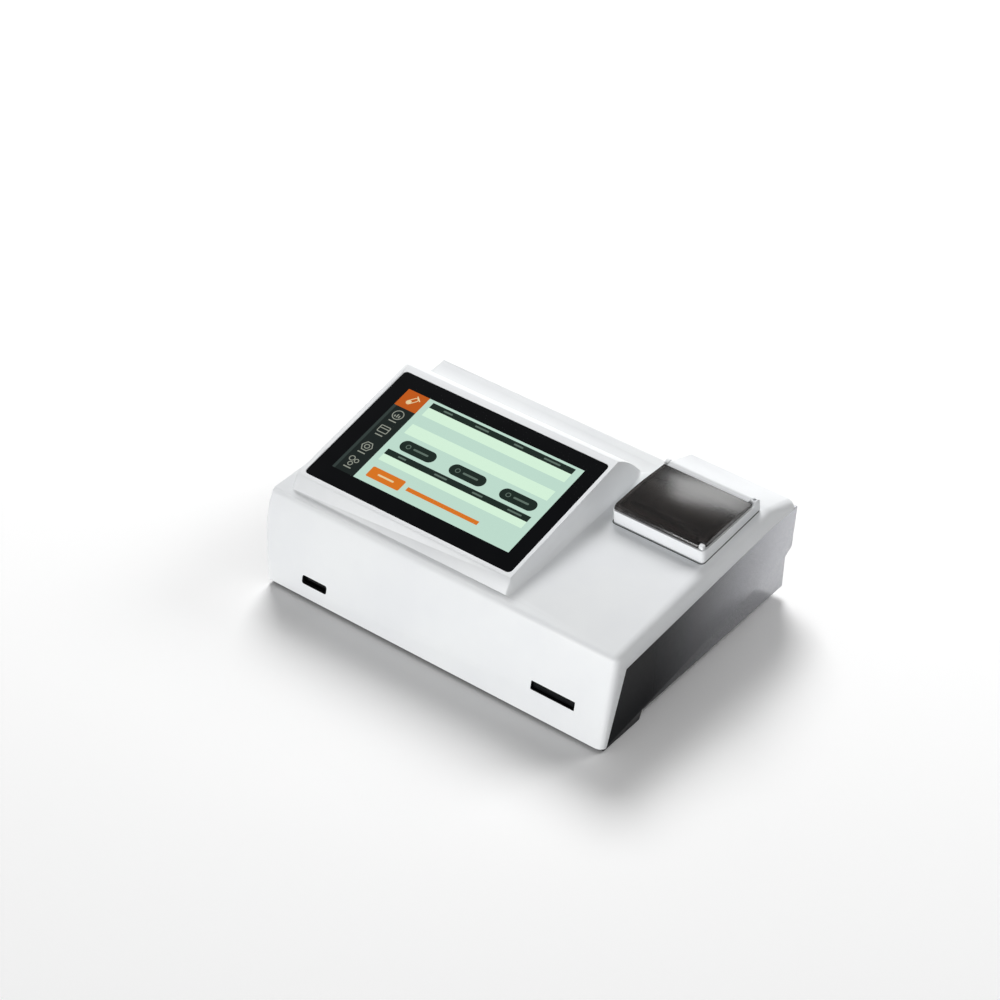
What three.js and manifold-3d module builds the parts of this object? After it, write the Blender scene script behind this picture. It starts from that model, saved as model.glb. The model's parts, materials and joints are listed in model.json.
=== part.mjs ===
// A bench-top rapid test reader: a white wedge cover over a dark case, a touch display in a raised
// housing, a small thermal printer under a smoked lid, and a motor-driven card tray at the front.
// Lengths are in millimetres. X runs across, to the right. Depths are measured back from the front
// edge and heights up from the table. The origin is under the middle of the body, on the table.

import * as THREE from 'three';
import { mergeVertices } from 'three/addons/utils/BufferGeometryUtils.js';
import Module from 'manifold-3d';

const wasm = await Module();
wasm.setup();

// Body outline
const bodyWidth = 298;
const bodyDepth = 224;
const frontEdgeHeight = 2.4;
const creaseDepth = 14.6;
const creaseHeight = 72.2;
const creaseRadius = 6;
const topSlopeDegrees = 4.6;
const leftPartDepth = 191;
const rearStepMargin = 4;
const rearBendDepth = 192;
const rearBendRadius = 14;
const rearShoulderDepth = 219.5;
const rearShoulderHeight = 77;
const rearShoulderRadius = 6;
const sideEdgeRadius = 5.5;
const belowTableShare = 0.25;

// The bulge of the body's left side: each inset is counted from the bulge's outermost line
const bulgeTopInset = 11.7;
const bulgeTopHeight = 86;
const bulgeShoulderInset = 6.9;
const bulgeShoulderHeight = 74.5;
const bulgeLipInset = 2.1;
const bulgeLipHeight = 71.8;
const bulgeUpperInset = 0.4;
const bulgeUpperHeight = 62;
const bulgeMiddleHeight = 50;
const bulgeLowerInset = 0.5;
const bulgeLowerHeight = 38;
const bulgeAnkleInset = 4.2;
const bulgeAnkleHeight = 16;
const bulgeFootInset = 8.3;
const coverWall = 2.5;

// The line where the white cover meets the dark case, from the front toe to the rear
const partingToeDepth = 5;
const partingFootDepth = 6.1;
const partingFootHeight = 4.6;
const partingCreaseDepth = 25.3;
const partingCreaseHeight = 57.2;
const partingMiddleDepth = 165.5;
const partingMiddleHeight = 68.5;
const partingBackDepth = 190;
const partingBackHeight = 70.5;
const partingRearHeight = 69.9;
const partingGap = 0.3;

// Dark lower case
const caseWall = 2.5;
const caseSideInset = 0.6;
const plinthHeight = 1.2;
const plinthToeDepth = 2.6;
const plinthDepth = 42.6;
const plinthSlopeDepth = 45.7;
const caseUnderHeight = 7.1;
const caseUnderInset = 13;
const caseTuckInset = 11.3;
const caseTuckHeight = 31.9;
const caseOverhangInset = 3.8;
const caseOverhangHeight = 36.9;
const caseFrontLipHeight = 9;

// Clearances
const seatGap = 0.3;
const cutOverrun = 4;

// Case screws and the bosses that they hold
const bossSideInset = 6.7;
const leftBossSideInset = 19.3;
const frontBossDepth = 52;
const leftRearBossInset = 13;
const rightRearBossInset = 21;
const bossRadius = 3.5;
const bossMeetHeight = 18;
const standoffRadius = 4.6;
const screwHeadRadius = 2.8;
const screwHeadLength = 2.2;
const screwRadius = 1.5;
const screwLength = 14;
const screwSeatHeight = 12;

// Feet
const frontPadSideInset = 37.7;
const leftPadSideInset = 50.3;
const frontPadDepth = 23;
const frontPadLength = 34;
const frontPadWidth = 12;
const frontPadCornerRadius = 4.8;
const rearFootSideInset = 24.7;
const leftFootSideInset = 37.3;
const rearFootDepth = 168;
const rearFootRadius = 8;
const rearFootTaper = 0.8;

// Display housing on the cover
const housingFootDepth = 21.3;
const housingFrontDepth = 27;
const housingFlankWidth = 4.6;
const housingFlankSink = 0.4;
const housingSideInset = 12.9;
const housingEdgeRadius = 3;
const housingFrontRadius = 3.5;
const housingRearRim = 5.9;
const housingRearBulgeReach = 16;
const housingRearBulgeHeight = 101;
const housingRearFootReach = 28.5;
const housingRearFootHeight = 82.5;
const housingRootHeight = 62;

// Cover glass and display
const displaySlopeDegrees = 12;
const glassLeftInset = 18.3;
const glassRightRim = 3;
const housingToPrinter = 10;
const glassFrontDepth = 29.9;
const glassFrontHeight = 84.3;
const glassLength = 112.7;
const glassThickness = 1.8;
const glassCornerRadius = 3;
const glassLedgeThickness = 1.8;
const glassLedgeWidth = 4;
const moduleSideMargin = 7.2;
const moduleEndMargin = 6.35;
const moduleThickness = 5.5;
const bracketThickness = 1.2;
const bracketRimHeight = 2.6;
const bracketMargin = 1.4;
const bracketWindowWidth = 60;
const bracketWindowLength = 40;
const displayBoardWidth = 110;
const displayBoardLength = 56;
const displayPostHeight = 2.4;
const displayPostRadius = 2.5;
const displayPostInset = 5;
const displayConnectorWidth = 26;
const displayConnectorLength = 5;
const displayConnectorHeight = 2.4;
const displayConnectorSetback = 23.65;
const displayChipSize = 12;
const displayChipHeight = 1.4;
const displayChipOffset = 20;

// Printed circuit boards
const boardThickness = 1.6;
const boardStandoffHeight = 6;
const boardStandoffRadius = 3;

// Mainboard
const mainboardToSupply = 12;
const mainboardStepMargin = 4;
const mainboardFrontDepth = 62;
const mainboardStandoffInset = 5;
const ribbonWidth = 24;
const ribbonThickness = 0.5;
const ribbonSocketDepth = 92;
const ribbonSocketLength = 5;
const ribbonSocketHeight = 4;
const ribbonSocketOffset = 14;
const ribbonBend = 26;
const processorSize = 18;
const processorHeight = 1.6;
const heatSinkSize = 26;
const heatSinkBase = 2;
const heatSinkHeight = 9;
const heatSinkFin = 1.5;
const heatSinkFinCount = 5;
const processorInset = 30;
const processorDepth = 120;
const coinCellRadius = 10;
const coinCellHeight = 4.5;
const coinCellInset = 20;
const coinCellDepth = 130;
const buzzerRadius = 6;
const buzzerHeight = 7;
const buzzerInset = 16;
const buzzerDepth = 76;
const headerWidth = 20;
const headerLength = 6;
const headerHeight = 8;
const headerInset = 34;
const headerDepth = 70;

// Power supply
const supplySideInset = 27.3;
const supplyWidth = 56;
const supplyFrontDepth = 66;
const supplyBackDepth = 158;
const transformerWidth = 30;
const transformerLength = 26;
const transformerHeight = 24;
const supplySinkWidth = 3;
const supplySinkLength = 60;
const supplySinkHeight = 22;
const supplySinkInset = 7;
const supplyMiddleDepth = 112;
const capacitorRadius = 8;
const capacitorHeight = 26;
const capacitorInset = 15;
const capacitorDepth = 82;

// Rear connector panel and the sockets in it
const panelThickness = 2;
const panelSideInset = 24.6;
const panelStepMargin = 6;
const panelTopHeight = 62;
const windowMargin = 3.5;
const windowBottomHeight = 15;
const ventCount = 9;
const ventWidth = 2;
const ventPitch = 5;
const ventHeight = 12;
const ventBottomHeight = 44;
const ventInset = 50;
const inletInset = 20.5;
const inletHeight = 34;
const inletBezelWidth = 31;
const inletBezelHeight = 24;
const inletBezelThickness = 2;
const inletBodyWidth = 27;
const inletBodyHeight = 20;
const inletBodyLength = 19;
const inletMouthWidth = 24.4;
const inletMouthHeight = 16.4;
const inletMouthLength = 15;
const inletPinWidth = 2;
const inletPinHeight = 4;
const inletPinLength = 12;
const inletPinSpread = 7;
const inletPinDrop = 2;
const rockerToInlet = 25;
const rockerBezelWidth = 15;
const rockerBezelHeight = 22;
const rockerWellWidth = 11.6;
const rockerWellHeight = 18.4;
const rockerWallThickness = 0.8;
const rockerWellLength = 9;
const rockerBodyLength = 13;
const rockerWidth = 10.8;
const rockerHalfHeight = 8;
const rockerEdgeRise = 3.2;
const rockerMiddleRise = 1.4;
const rockerBackDrop = 3.5;
const rockerBackHalfHeight = 5.6;
const rockerPivotDepth = 1.8;
const rockerTiltDegrees = 9;
const socketProtrusion = 1.6;
const ethernetInset = 16;
const ethernetWidth = 16;
const ethernetHeight = 13.6;
const ethernetLength = 21;
const ethernetMouthWidth = 12;
const ethernetMouthHeight = 9;
const ethernetMouthLength = 13;
const ethernetMouthRise = 2;
const usbToEthernet = 20;
const usbWidth = 14.6;
const usbHeight = 15.8;
const usbLength = 18;
const usbMouthWidth = 12.8;
const usbMouthHeight = 5.4;
const usbMouthLength = 14;
const usbMouthPitch = 7.6;
const serialToUsb = 26;
const serialFlangeWidth = 31;
const serialFlangeHeight = 12.5;
const serialFlangeThickness = 1.2;
const serialBodyWidth = 20;
const serialBodyLength = 12;
const serialShellWidth = 17;
const serialShellSlantShare = 0.1;
const serialShellHeight = 8.4;
const serialShellLength = 5.5;
const serialNutRadius = 2.6;
const serialNutSpread = 12.5;

// Front slots
const cardSlotSideInset = 26.7;
const cardSlotWidth = 36;
const cardSlotBottom = 21;
const cardSlotTop = 27.5;
const chipSlotSideInset = 36.3;
const chipSlotWidth = 22;
const chipSlotBottom = 12.5;
const chipSlotTop = 19;
const chipSlotRadius = 1.6;

// Chip socket behind the small slot
const chipSocketFrontDepth = 7.6;
const chipSocketLength = 17;
const chipSocketWall = 2;
const chipMouthMargin = 0.6;
const chipMouthLength = 13;
const chipBoardMargin = 4;
const chipBoardFrontDepth = 12;
const chipBoardLength = 20;

// Card tray, its guide and drive
const trayFrontDepth = 6;
const trayLength = 110;
const traySideGap = 1;
const trayBottomGap = 0.7;
const trayTopGap = 0.5;
const trayFloor = 1.2;
const trayRecessWidth = 24;
const trayRecessLength = 74;
const trayRecessFront = 5;
const trayFlagWidth = 1.2;
const trayFlagLength = 5;
const trayFlagHeight = 3;
const trayTravel = 72;
const guideClearance = 0.4;
const guideFrontDepth = 12;
const guideBackMargin = 9;
const guideWall = 2.8;
const guideFloor = 2;
const guideLipThickness = 1.6;
const guideLipReach = 1.8;
const guideLegWidth = 3;
const guideLegInset = 4;
const guideLegFront = 50;
const pinionDepth = 30;
const pinionTeeth = 15;
const driveModule = 0.8;
const pinionHubRadius = 1.5;
const pinionHubLength = 9;
const pinionWindowMargin = 1.4;
const guideShelfWidth = 12;
const guideShelfMargin = 4;
const motorRadius = 10;
const motorHeight = 15;
const motorPostSpread = 13;
const motorPostRadius = 2.5;
const motorEarThickness = 1;
const sensorWidth = 12;
const sensorLength = 6;
const sensorHeight = 6;
const sensorSlot = 3.4;
const sensorBase = 1.3;

// Optics above the tray
const opticInset = 17;
const opticDepth = 72;
const opticBlockLength = 28;
const opticBlockHeight = 24;
const opticBoreRadius = 4;
const opticWellRadius = 5.3;
const opticLedgeHeight = 3;
const lensRadius = 5;
const lensEdge = 1;
const lensBulge = 1.1;
const mirrorHeight = 11;
const mirrorLength = 10;
const mirrorWidth = 6;
const mirrorThickness = 1;
const filterRadius = 5;
const filterThickness = 2;
const filterHeight = 18.5;
const lampBoreRadius = 3;
const lampRadius = 2.4;
const lampLength = 5;
const opticBoardSize = 20;

// Printer, on the slope of the cover
const printerSideInset = 7.2;
const printerWidth = 75.5;
const printerFrontDepth = 120;
const printerLength = 67;
const printerWall = 2;
const frameFrontHeight = 10.6;
const frameRearHeight = 8;
const frameBaseHeight = 2.8;
const frameCornerRadius = 3;
const bucketInset = 2.3;
const hingeAlong = 63.2;
const hingeRise = 7.6;
const hingeEarRadius = 3.4;
const hingeEarWidth = 3;
const hingeRightEarWidth = 4.3;
const hingeBarRadius = 3;
const hingeBarGap = 0.4;
const hingePinRadius = 1;
const hingeBoreRadius = 1.3;
const hingeDimpleRadius = 1.2;
const hingeDimpleDepth = 1.2;
const rearSillHeight = 4.2;
const rollAlong = 39.5;
const rollDrop = 9.5;
const rollRadius = 18.5;
const rollWidth = 57;
const rollCoreRadius = 6;
const rollCoreWall = 1.2;
const rollCradleGap = 0.8;
const bayFrontInset = 4.3;
const gearCheekInset = 12.6;
const gearCheekThickness = 2;
const gearBayInset = 4.3;
const gearBayBack = 24;
const bayLeftInset = 4.3;
const cheekBack = 20;
const cheekShoulder = 14;
const cheekHeight = 8.3;
const platenAlong = 10.2;
const platenRise = 5;
const platenRadius = 4.5;
const platenShaftRadius = 2;
const platenSleeve = 1;
const gearModule = 0.7;
const gearSideGap = 0.7;
const gearWidth = 2.8;
const platenTeeth = 14;
const idlerTeeth = 18;
const motorTeeth = 10;
const idlerDirectionDegrees = -60;
const motorDirectionDegrees = -112;
const idlerPinRadius = 1.2;
const printMotorRadius = 7.5;
const printMotorLength = 13;
const printMotorShaftRadius = 1;
const printHeadThickness = 3.5;
const printHeadHeight = 10;
const printHeadDrop = 2;
const printHeadHook = 3;
const tearBarThickness = 1;
const tearBarBottom = 5;
const tearBarTop = 9.4;
const tearToothHeight = 0.9;
const tearToothCount = 14;
const printerBoardHeight = 16;
const printerBoardLength = 38;
const printerBoardDrop = 27;

// Smoked lid and its catch
const lidWall = 1.8;
const lidInset = 1.2;
const lidFrontCrown = 14.6;
const lidMiddleAlong = 29;
const lidMiddleCrown = 14;
const lidRearAlong = 58.8;
const lidRearCrown = 10.4;
const lidFrontLean = 0.5;
const lidFrontRadius = 3.2;
const lidMiddleRadius = 150;
const lidSeatGap = 0.3;
const catchWidth = 3.4;
const catchLength = 3.2;
const catchAlong = 1.7;
const catchRightMargin = 1.6;
const catchBottom = 5;
const catchTop = 13.4;
const catchTravel = 1.5;
const catchNotchMargin = 0.6;
const catchPocketWall = 1.3;

// Tooth form, as shares of the module
const toothAddendumShare = 0.9;
const toothDedendumShare = 1.25;
const toothTipHalfShare = 0.3;
const toothRootHalfShare = 0.85;

// Facet counts
const cornerSteps = 4;
const flankSteps = 4;
const rearCurveSteps = 6;
const edgeSteps = 3;
const bulgeSteps = 4;
const smallSides = 16;
const largeSides = 32;
const ribbonSteps = 10;

// Values that follow from the sizes above
const frontY = -bodyDepth / 2;
const bodyHalfWidth = bodyWidth / 2;
const topSlope = THREE.MathUtils.degToRad(topSlopeDegrees);
const displaySlope = THREE.MathUtils.degToRad(displaySlopeDegrees);

// Places across the body, each counted from the side or the neighbour that it keeps to
const printerRightX = bodyHalfWidth - printerSideInset;
const printerLeftX = printerRightX - printerWidth;
const rearStepX = printerLeftX - rearStepMargin;
const housingTopEdgeX = printerLeftX - housingToPrinter - housingFlankWidth;
const glassLeftX = -bodyHalfWidth + glassLeftInset;
const glassWidth = housingTopEdgeX - glassRightRim - glassLeftX;
const bossX = bodyHalfWidth - bossSideInset;
const leftBossX = -bodyHalfWidth + leftBossSideInset;
const rightPadX = bodyHalfWidth - frontPadSideInset;
const leftPadX = -bodyHalfWidth + leftPadSideInset;
const rightFootX = bodyHalfWidth - rearFootSideInset;
const leftFootX = -bodyHalfWidth + leftFootSideInset;
const supplyLeftX = -bodyHalfWidth + supplySideInset;
const supplyRightX = supplyLeftX + supplyWidth;
const supplySinkX = supplyRightX - supplySinkInset;
const capacitorX = supplyLeftX + capacitorInset;
const mainboardLeftX = supplyRightX + mainboardToSupply;
const mainboardRightX = rearStepX - mainboardStepMargin;
const ribbonSocketX = (mainboardLeftX + mainboardRightX) / 2 - ribbonSocketOffset;
const processorX = mainboardRightX - processorInset;
const coinCellX = mainboardLeftX + coinCellInset;
const buzzerX = mainboardRightX - buzzerInset;
const headerX = mainboardRightX - headerInset;
const panelLeftX = -bodyHalfWidth + panelSideInset;
const panelRightX = rearStepX - panelStepMargin;
const ventCentreX = panelRightX - ventInset;
const inletX = panelLeftX + inletInset;
const rockerX = inletX + rockerToInlet;
const ethernetX = panelRightX - ethernetInset;
const usbX = ethernetX - usbToEthernet;
const serialX = usbX - serialToUsb;
const cardSlotRightX = bodyHalfWidth - cardSlotSideInset;
const cardSlotLeftX = cardSlotRightX - cardSlotWidth;
const chipSlotLeftX = -bodyHalfWidth + chipSlotSideInset;
const chipSlotRightX = chipSlotLeftX + chipSlotWidth;
const opticX = cardSlotLeftX + opticInset;
const bayLeftX = printerLeftX + bayLeftInset;
const gearCheekX = printerRightX - gearCheekInset;
const gearBayRightX = printerRightX - gearBayInset;
const gearLeftX = gearCheekX + gearCheekThickness + gearSideGap;

// Places along the display
const moduleWidth = glassWidth - 2 * moduleSideMargin;
const moduleLength = glassLength - 2 * moduleEndMargin;
const glassBackDepth = glassFrontDepth + glassLength * Math.cos(displaySlope);
const housingRearTopDepth = glassBackDepth + housingRearRim;
const housingRearBulgeDepth = housingRearTopDepth + housingRearBulgeReach;
const housingRearFootDepth = housingRearTopDepth + housingRearFootReach;

// Heights and depths inside the case
const floorTop = caseUnderHeight + caseWall;
const plinthFloorTop = plinthHeight + caseWall;
const farAway = bodyDepth;
const boardBottom = floorTop + boardStandoffHeight;
const boardTop = boardBottom + boardThickness;
const panelBackDepth = leftPartDepth - caseWall - seatGap;
const panelFrontDepth = panelBackDepth - panelThickness;

// Height of the cover's sloping top at a depth.
function topHeight(depth) {
  return creaseHeight + (depth - creaseDepth) * Math.tan(topSlope);
}

// Height of the display housing's upper face at a depth.
function displayHeight(depth) {
  return glassFrontHeight + (depth - glassFrontDepth) * Math.tan(displaySlope);
}

// Axes that an extrusion is turned to, so that its outline lies across the named direction.
const acrossX = new THREE.Matrix4().makeBasis(
  new THREE.Vector3(0, 1, 0),
  new THREE.Vector3(0, 0, 1),
  new THREE.Vector3(1, 0, 0),
);
const acrossY = new THREE.Matrix4().makeBasis(
  new THREE.Vector3(1, 0, 0),
  new THREE.Vector3(0, 0, 1),
  new THREE.Vector3(0, -1, 0),
);

function shapeFrom(points) {
  return new THREE.Shape(points.map(([u, v]) => new THREE.Vector2(u, v)));
}

// A prism with its outline, as [y, z] points, drawn across X.
function prismX(points, fromX, toX) {
  const geometry = new THREE.ExtrudeGeometry(shapeFrom(points), {
    depth: toX - fromX,
    bevelEnabled: false,
  });
  geometry.applyMatrix4(acrossX);
  geometry.translate(fromX, 0, 0);
  return geometry;
}

// A prism with its outline, as [x, z] points, drawn across Y.
function prismY(points, fromY, toY) {
  const geometry = new THREE.ExtrudeGeometry(shapeFrom(points), {
    depth: toY - fromY,
    bevelEnabled: false,
  });
  geometry.applyMatrix4(acrossY);
  geometry.translate(0, toY, 0);
  return geometry;
}

// An upright prism with its outline given as [x, y] points.
function prismZ(points, fromZ, toZ) {
  const geometry = new THREE.ExtrudeGeometry(shapeFrom(points), {
    depth: toZ - fromZ,
    bevelEnabled: false,
  });
  geometry.translate(0, 0, fromZ);
  return geometry;
}

// A block between two opposite corners.
function block([x0, y0, z0], [x1, y1, z1]) {
  const geometry = new THREE.BoxGeometry(x1 - x0, y1 - y0, z1 - z0);
  geometry.translate((x0 + x1) / 2, (y0 + y1) / 2, (z0 + z1) / 2);
  return geometry;
}

function rodX(radius, fromX, toX, y, z, sides = smallSides) {
  const geometry = new THREE.CylinderGeometry(radius, radius, toX - fromX, sides);
  geometry.rotateZ(-Math.PI / 2);
  geometry.translate((fromX + toX) / 2, y, z);
  return geometry;
}

function rodY(radius, fromY, toY, x, z, sides = smallSides) {
  const geometry = new THREE.CylinderGeometry(radius, radius, toY - fromY, sides);
  geometry.translate(x, (fromY + toY) / 2, z);
  return geometry;
}

function rodZ(radius, fromZ, toZ, x, y, sides = smallSides) {
  const geometry = new THREE.CylinderGeometry(radius, radius, toZ - fromZ, sides);
  geometry.rotateX(Math.PI / 2);
  geometry.translate(x, y, (fromZ + toZ) / 2);
  return geometry;
}

// Turns each [u, v, radius] corner into an arc; a corner with no radius stays sharp.
function roundCorners(corners) {
  const points = [];
  corners.forEach(([u, v, radius = 0], index) => {
    const before = corners[(index + corners.length - 1) % corners.length];
    const after = corners[(index + 1) % corners.length];
    const corner = new THREE.Vector2(u, v);
    if (radius === 0) {
      points.push([u, v]);
      return;
    }
    const toBefore = new THREE.Vector2(before[0], before[1]).sub(corner).normalize();
    const toAfter = new THREE.Vector2(after[0], after[1]).sub(corner).normalize();
    const halfAngle = Math.acos(THREE.MathUtils.clamp(toBefore.dot(toAfter), -1, 1)) / 2;
    const tangent = radius / Math.tan(halfAngle);
    const toCentre = toBefore.clone().add(toAfter).normalize();
    const centre = corner.clone().addScaledVector(toCentre, radius / Math.sin(halfAngle));
    const start = corner.clone().addScaledVector(toBefore, tangent).sub(centre);
    const end = corner.clone().addScaledVector(toAfter, tangent).sub(centre);
    const sweep = Math.atan2(start.cross(end), start.dot(end));
    for (let step = 0; step <= cornerSteps; step += 1) {
      const spoke = start.clone().rotateAround(new THREE.Vector2(), (sweep * step) / cornerSteps);
      points.push([centre.x + spoke.x, centre.y + spoke.y]);
    }
  });
  return points;
}

function roundedRectangle(u0, v0, u1, v1, radius) {
  return roundCorners([
    [u0, v0, radius],
    [u1, v0, radius],
    [u1, v1, radius],
    [u0, v1, radius],
  ]);
}

function signedArea(points) {
  return THREE.ShapeUtils.area(points.map(([u, v]) => new THREE.Vector2(u, v)));
}

// Moves every side of an outline inwards by one distance and keeps its number of points.
function insetOutline(points, distance) {
  const side = Math.sign(signedArea(points));
  return points.map(([u, v], index) => {
    const [pu, pv] = points[(index + points.length - 1) % points.length];
    const [nu, nv] = points[(index + 1) % points.length];
    const normalIn = new THREE.Vector2(-(v - pv), u - pu).normalize().multiplyScalar(side);
    const normalOut = new THREE.Vector2(-(nv - v), nu - u).normalize().multiplyScalar(side);
    const reach = distance / (1 + normalIn.dot(normalOut));
    return [u + (normalIn.x + normalOut.x) * reach, v + (normalIn.y + normalOut.y) * reach];
  });
}

// A closed skin through outlines that stand across X, each as { x, points } with [y, z] points.
function loftX(sections) {
  const count = sections[0].points.length;
  const flip = signedArea(sections[0].points) < 0;
  const ordered = sections.map(({ x, points }) => ({
    x,
    points: flip ? [...points].reverse() : points,
  }));
  const positions = ordered.flatMap(({ x, points }) => points.flatMap(([y, z]) => [x, y, z]));
  const indices = [];
  for (let section = 0; section < ordered.length - 1; section += 1) {
    for (let index = 0; index < count; index += 1) {
      const a = section * count + index;
      const b = section * count + ((index + 1) % count);
      indices.push(a, b, b + count, a, b + count, a + count);
    }
  }
  const lastStart = (ordered.length - 1) * count;
  const capOf = ({ points }) => THREE.ShapeUtils.triangulateShape(
    points.map(([y, z]) => new THREE.Vector2(y, z)),
    [],
  );
  capOf(ordered[0]).forEach(([a, b, c]) => indices.push(c, b, a));
  capOf(ordered[ordered.length - 1]).forEach(([a, b, c]) => {
    indices.push(a + lastStart, b + lastStart, c + lastStart);
  });
  const geometry = new THREE.BufferGeometry();
  geometry.setAttribute('position', new THREE.Float32BufferAttribute(positions, 3));
  geometry.setIndex(indices);
  return geometry;
}

function solidFrom(geometry) {
  const bare = geometry.clone();
  bare.deleteAttribute('normal');
  bare.deleteAttribute('uv');
  const merged = mergeVertices(bare);
  return new wasm.Manifold(new wasm.Mesh({
    numProp: 3,
    vertProperties: new Float32Array(merged.attributes.position.array),
    triVerts: new Uint32Array(merged.index.array),
  }));
}

function geometryFrom(solid) {
  const mesh = solid.getMesh();
  const geometry = new THREE.BufferGeometry();
  geometry.setAttribute('position', new THREE.Float32BufferAttribute(mesh.vertProperties, 3));
  geometry.setIndex(new THREE.Uint32BufferAttribute(mesh.triVerts, 1));
  geometry.computeVertexNormals();
  return geometry;
}

function join(...geometries) {
  return geometryFrom(geometries.map(solidFrom).reduce((whole, piece) => whole.add(piece)));
}

function cut(base, ...tools) {
  return geometryFrom(tools.map(solidFrom).reduce((whole, tool) => whole.subtract(tool), solidFrom(base)));
}

function common(first, second) {
  return geometryFrom(solidFrom(first).intersect(solidFrom(second)));
}

const reader = new THREE.Group();
const printer = new THREE.Group();
printer.position.set(0, frontY + printerFrontDepth, topHeight(printerFrontDepth));
printer.rotation.x = topSlope;
const display = new THREE.Group();
display.position.set(glassLeftX, frontY + glassFrontDepth, glassFrontHeight);
display.rotation.x = displaySlope;
reader.add(printer, display);

const finishes = {
  white: { color: 0xeceff1, roughness: 0.35, metalness: 0 },
  dark: { color: 0x35373a, roughness: 0.45, metalness: 0 },
  black: { color: 0x121314, roughness: 0.5, metalness: 0 },
  glass: { color: 0x0a0b0c, roughness: 0.08, metalness: 0 },
  smoke: { color: 0x2a2828, roughness: 0.12, metalness: 0 },
  clear: { color: 0xdfe8ea, roughness: 0.05, metalness: 0 },
  rubber: { color: 0x1c1c1c, roughness: 0.9, metalness: 0 },
  steel: { color: 0xb9bcc0, roughness: 0.3, metalness: 1 },
  board: { color: 0x1f5a3a, roughness: 0.5, metalness: 0 },
  paper: { color: 0xf6f5f0, roughness: 0.9, metalness: 0 },
  film: { color: 0xc9a05a, roughness: 0.4, metalness: 0 },
};

// Adds a named piece to the reader, or to one of its tilted groups.
function addPiece(name, geometry, finish, parent = reader) {
  const mesh = new THREE.Mesh(geometry, new THREE.MeshStandardMaterial(finishes[finish]));
  mesh.name = name;
  parent.add(mesh);
}

// Turns an outline of [depth, height] corners into [y, z] corners.
function fromFront(corners) {
  return corners.map(([depth, height, radius]) => [frontY + depth, height, radius]);
}

// The outer side outline of the whole body. Its lower end runs on below the table, and is cut later.
function bodyOutline() {
  const frontLean = creaseDepth / (creaseHeight - frontEdgeHeight);
  const below = -bodyDepth * belowTableShare;
  return roundCorners(fromFront([
    [(below - frontEdgeHeight) * frontLean, below],
    [creaseDepth, creaseHeight, creaseRadius],
    [rearBendDepth, topHeight(rearBendDepth), rearBendRadius],
    [rearShoulderDepth, rearShoulderHeight, rearShoulderRadius],
    [bodyDepth, partingRearHeight],
    [bodyDepth, below],
  ]));
}

// The bulging left side seen from the front, moved in by an inset. Its right end lies beyond the body.
function bulgeOutline(inset) {
  const flank = new THREE.SplineCurve([
    new THREE.Vector2(bulgeFootInset, 0),
    new THREE.Vector2(bulgeAnkleInset, bulgeAnkleHeight),
    new THREE.Vector2(bulgeLowerInset, bulgeLowerHeight),
    new THREE.Vector2(0, bulgeMiddleHeight),
    new THREE.Vector2(bulgeUpperInset, bulgeUpperHeight),
    new THREE.Vector2(bulgeLipInset, bulgeLipHeight),
  ]).getPoints(bulgeSteps).map(({ x, y }) => [x, y]);
  const leftSide = [
    [bulgeFootInset, -farAway],
    ...flank,
    [bulgeShoulderInset, bulgeShoulderHeight],
    [bulgeTopInset, bulgeTopHeight],
    [bulgeTopInset, farAway],
  ].map(([x, z]) => [x - bodyHalfWidth, z]);
  return insetOutline([...leftSide, [bodyWidth, farAway], [bodyWidth, -farAway]].reverse(), inset);
}

// What lies right of the bulging left side, moved in by a wall or a gap.
function bulgeZone(inset) {
  return prismY(bulgeOutline(inset), -bodyDepth, bodyDepth);
}

// The body outline drawn over the full width, with a rounded right edge and the bulging left side.
function bodyEnvelope() {
  const geometry = new THREE.ExtrudeGeometry(shapeFrom(bodyOutline()), {
    depth: bodyWidth,
    bevelThickness: sideEdgeRadius,
    bevelSize: sideEdgeRadius,
    bevelOffset: -sideEdgeRadius,
    bevelSegments: edgeSteps,
  });
  geometry.applyMatrix4(acrossX);
  geometry.translate(-sideEdgeRadius - bodyHalfWidth, 0, 0);
  return common(geometry, bulgeZone(0));
}

// The notch behind the left part of the body, widened on every inner side by a margin.
function leftRearNotch(margin) {
  return block(
    [-bodyWidth, frontY + leftPartDepth - margin, -farAway],
    [rearStepX + margin, bodyDepth, farAway],
  );
}

// The line between cover and case as [depth, height] corners.
const partingLine = [
  [partingToeDepth, frontEdgeHeight],
  [partingFootDepth, partingFootHeight],
  [partingCreaseDepth, partingCreaseHeight],
  [partingMiddleDepth, partingMiddleHeight],
  [partingBackDepth, partingBackHeight],
  [bodyDepth, partingRearHeight],
];

// Everything above and in front of the parting line.
function coverZone() {
  return prismX(fromFront([
    [-farAway, frontEdgeHeight],
    ...partingLine,
    [bodyDepth + farAway, partingRearHeight],
    [bodyDepth + farAway, farAway],
    [-farAway, farAway],
  ]), -bodyWidth, bodyWidth);
}

// The side outline of the display housing, from its front foot over the top to its rear foot.
function housingOutline() {
  const rearCurve = new THREE.QuadraticBezierCurve(
    new THREE.Vector2(housingRearTopDepth, displayHeight(housingRearTopDepth)),
    new THREE.Vector2(housingRearBulgeDepth, housingRearBulgeHeight),
    new THREE.Vector2(housingRearFootDepth, housingRearFootHeight),
  );
  return roundCorners(fromFront([
    [housingFootDepth, housingRootHeight],
    [housingFootDepth, topHeight(housingFootDepth)],
    [housingFrontDepth, displayHeight(housingFrontDepth), housingFrontRadius],
    ...rearCurve.getPoints(rearCurveSteps).map(({ x, y }) => [x, y]),
    [housingRearFootDepth, housingRootHeight],
  ]));
}

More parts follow.
